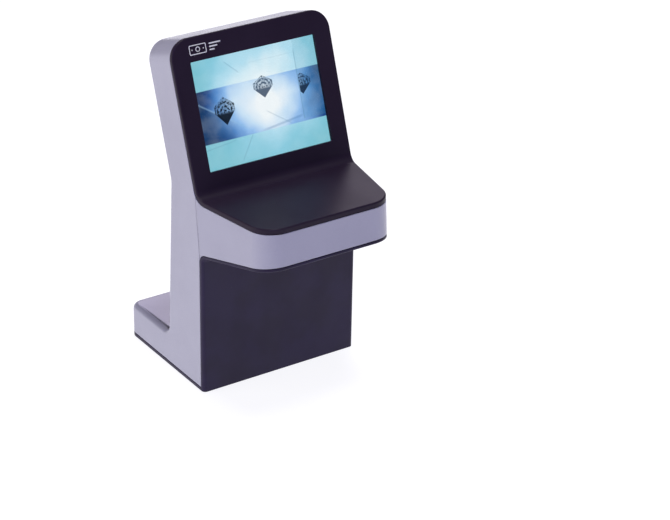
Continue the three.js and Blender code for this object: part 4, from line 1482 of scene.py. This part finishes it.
def add_shell():
    add("housing_shell", rear_housing(), "silver_plastic", ["rear_housing"])
    add("visor_band_shell", visor_band(), "silver_plastic", ["visor_band"], sharp=30)
    add("front_cover_shell", front_cover(), "gloss_black", ["front_cover"])
    add("lower_panel_shell", lower_front_panel(), "satin_black", ["lower_front_panel"])
    pane = head_plate(PANE_HALF, PANE_REACH, PANE_DEPTHS, SCREEN_CENTRE)
    add("screen_pane", pane, "clear_window", ["screen_window"])
    display = head_plate(DISPLAY_HALF, DISPLAY_REACH, DISPLAY_DEPTHS, DISPLAY_CENTRE)
    add("lit_display_panel", display, "screen_glass", ["lcd_glass"], material=screen_picture())
    add("printed_pictogram", printed_mark(), "gloss_black", [], material=print_white())


HEAD_SEAT = 18.3                    # depth of the head screws' seats behind the screen face
COLUMN_SEAT_Y = 10.3
BASE_SEAT_Z = 2.1
HEAD_SCREW = (2.8, 1.8, 1.2, 10)    # radius and height of the head, radius and length of the shank
COLUMN_SCREW = (2.8, 2.0, 1.1, 14)
BASE_SCREW = (2.6, 0.9, 1.2)


def add_screws():
    into_head = (0, -math.cos(TILT), math.sin(TILT))
    for side, word in ((-1, "left"), (1, "right")):
        seat = on_head(side * HEAD_SCREW_X, HEAD_SEAT, HEAD_SCREW_S)
        add("head_screw_pan_" + word, screw(seat, into_head, *HEAD_SCREW),
            "black_screws", ["head_screw_" + word])
        seat = (side * COLUMN_SCREW_X, COLUMN_SEAT_Y, COLUMN_SCREW_Z)
        add("column_screw_pan_" + word, screw(seat, (0, -1, 0), *COLUMN_SCREW),
            "black_screws", ["column_screw_" + word])
    for index in range(1, 5):
        low, high = box_of(f"base_screw_{index}")
        middle = (low + high) / 2
        seat = (middle.x, middle.y, BASE_SEAT_Z)
        add(f"base_screw_pan_{index}",
            screw(seat, (0, 0, 1), *BASE_SCREW, high.z - BASE_SEAT_Z),
            "black_screws", [f"base_screw_{index}"])


def add_back():
    add("switch_frame", switch_frame(), "black_moulding", ["switch_body"])
    add("rocker_paddle", switch_rocker(), "black_moulding", ["switch_rocker"], "rocker")
    add("rocker_marks", rocker_marks(), "black_moulding", [], "rocker", material=print_white())
    add("inlet_collar", inlet_collar(), "black_moulding", ["power_inlet"])
    for index in range(1, 5):
        node = f"rubber_foot_{index}"
        add(f"rubber_pad_{index}", rubber_foot(node), "rubber", [node])


def dress_cad_nodes():
    """The CAD pieces that stay get their slot's material and softly broken edges."""
    for subpart in frame["record"]["subparts"]:
        node = frame["nodes"][subpart["node"]]
        if node.hide_render:
            continue
        node.data.materials.clear()
        node.data.materials.append(FINISHES[subpart["material_slot"]])
        for polygon in node.data.polygons:
            polygon.use_smooth = True
        node.modifiers.new("weld", "WELD").merge_threshold = 0.005 * MM
        bevel = node.modifiers.new("soft_edges", "BEVEL")
        bevel.width = 0.12 * MM
        bevel.segments = 2
        bevel.limit_method = "ANGLE"
        bevel.angle_limit = math.radians(40)
        bevel.harden_normals = False
        node.modifiers.new("flat_faces", "WEIGHTED_NORMAL").keep_sharp = True


add_shell()
add_screws()
add_back()
dress_cad_nodes()


# --- camera
CAMERA_PLACE = Vector((-0.7655, -1.2070, 0.8116))
CAMERA_YAW = -0.5993                # radians, as are the next two
CAMERA_PITCH = 0.4740               # downwards
CAMERA_ROLL = 0.0176
CAMERA_LENS, SENSOR_WIDTH = 124.7, 36   # mm


def add_camera():
    data = bpy.data.cameras.new("view_camera")
    data.lens = CAMERA_LENS
    data.sensor_width = SENSOR_WIDTH
    data.clip_start = 0.01
    camera = new_object("view_camera", data)
    camera.matrix_world = (Matrix.Translation(CAMERA_PLACE)
                           @ Matrix.Rotation(CAMERA_YAW, 4, "Z")
                           @ Matrix.Rotation(math.pi / 2 - CAMERA_PITCH, 4, "X")
                           @ Matrix.Rotation(CAMERA_ROLL, 4, "Z"))
    bpy.context.scene.camera = camera


# --- floor and light
FLOOR_HALF = 6                      # metres


def add_floor():
    """A pale floor that glows a little, as a light table does, so that shadows stay soft."""
    finish = Finish("pale_floor", Roughness=0.75)
    grey = finish.mix(finish.noise(60, 3), tone(122, 122, 126), tone(128, 128, 132))
    finish.set("Base Color", grey)
    finish.set("Emission Color", tone(252, 252, 255))
    finish.set("Emission Strength", 0.93)
    bm = bmesh.new()
    bmesh.ops.create_grid(bm, x_segments=8, y_segments=8, size=FLOOR_HALF)
    mesh_object("floor", bm, finish.material)


MIDDLE = Vector((0, 0, 0.13))       # metres, as are the lights' places and sizes


def add_light(name, place, width, height, power, colour):
    data = bpy.data.lights.new(name, "AREA")
    data.shape = "RECTANGLE"
    data.size = width
    data.size_y = height
    data.energy = power
    data.color = colour
    light = new_object(name, data)
    aim = MIDDLE - Vector(place)
    light.rotation_euler = aim.to_track_quat("-Z", "Y").to_euler()
    light.location = place
    light.visible_camera = False


def add_world():
    """A dim surround for the light, and a bright one behind the object."""
    world = bpy.data.worlds.new("studio")
    world.use_nodes = True
    nodes, links = world.node_tree.nodes, world.node_tree.links
    mix = nodes.new("ShaderNodeMixShader")
    rays = nodes.new("ShaderNodeLightPath")
    links.new(rays.outputs["Is Camera Ray"], mix.inputs[0])
    dim, bright = nodes["Background"], nodes.new("ShaderNodeBackground")
    for index, (shade, colour, strength) in enumerate((
            (dim, tone(206, 204, 216), 0.1), (bright, tone(250, 250, 252), 1.0))):
        shade.inputs["Color"].default_value = colour
        shade.inputs["Strength"].default_value = strength
        links.new(shade.outputs[0], mix.inputs[index + 1])
    links.new(mix.outputs[0], nodes["World Output"].inputs["Surface"])
    bpy.context.scene.world = world


add_camera()
add_floor()
add_world()
add_light("key_softbox", (-1.9, 0.45, 0.8), 1.3, 1.3, 20, (1.0, 0.985, 0.9))
add_light("back_panel", (1.05, 1.5, 1.1), 1.4, 1.0, 10, (0.95, 0.87, 1.0))
add_light("front_fill", (-0.5, -1.9, 1.3), 1.2, 1.0, 5.5, (0.01, 0.03, 1.0))
add_light("overhead_panel", (0.1, -0.3, 2.4), 0.6, 0.6, 28, (1.0, 0.99, 1.0))
bpy.context.scene.view_settings.view_transform = "Standard"
bpy.context.scene.view_settings.look = "None"

bpy.context.view_layer.update()
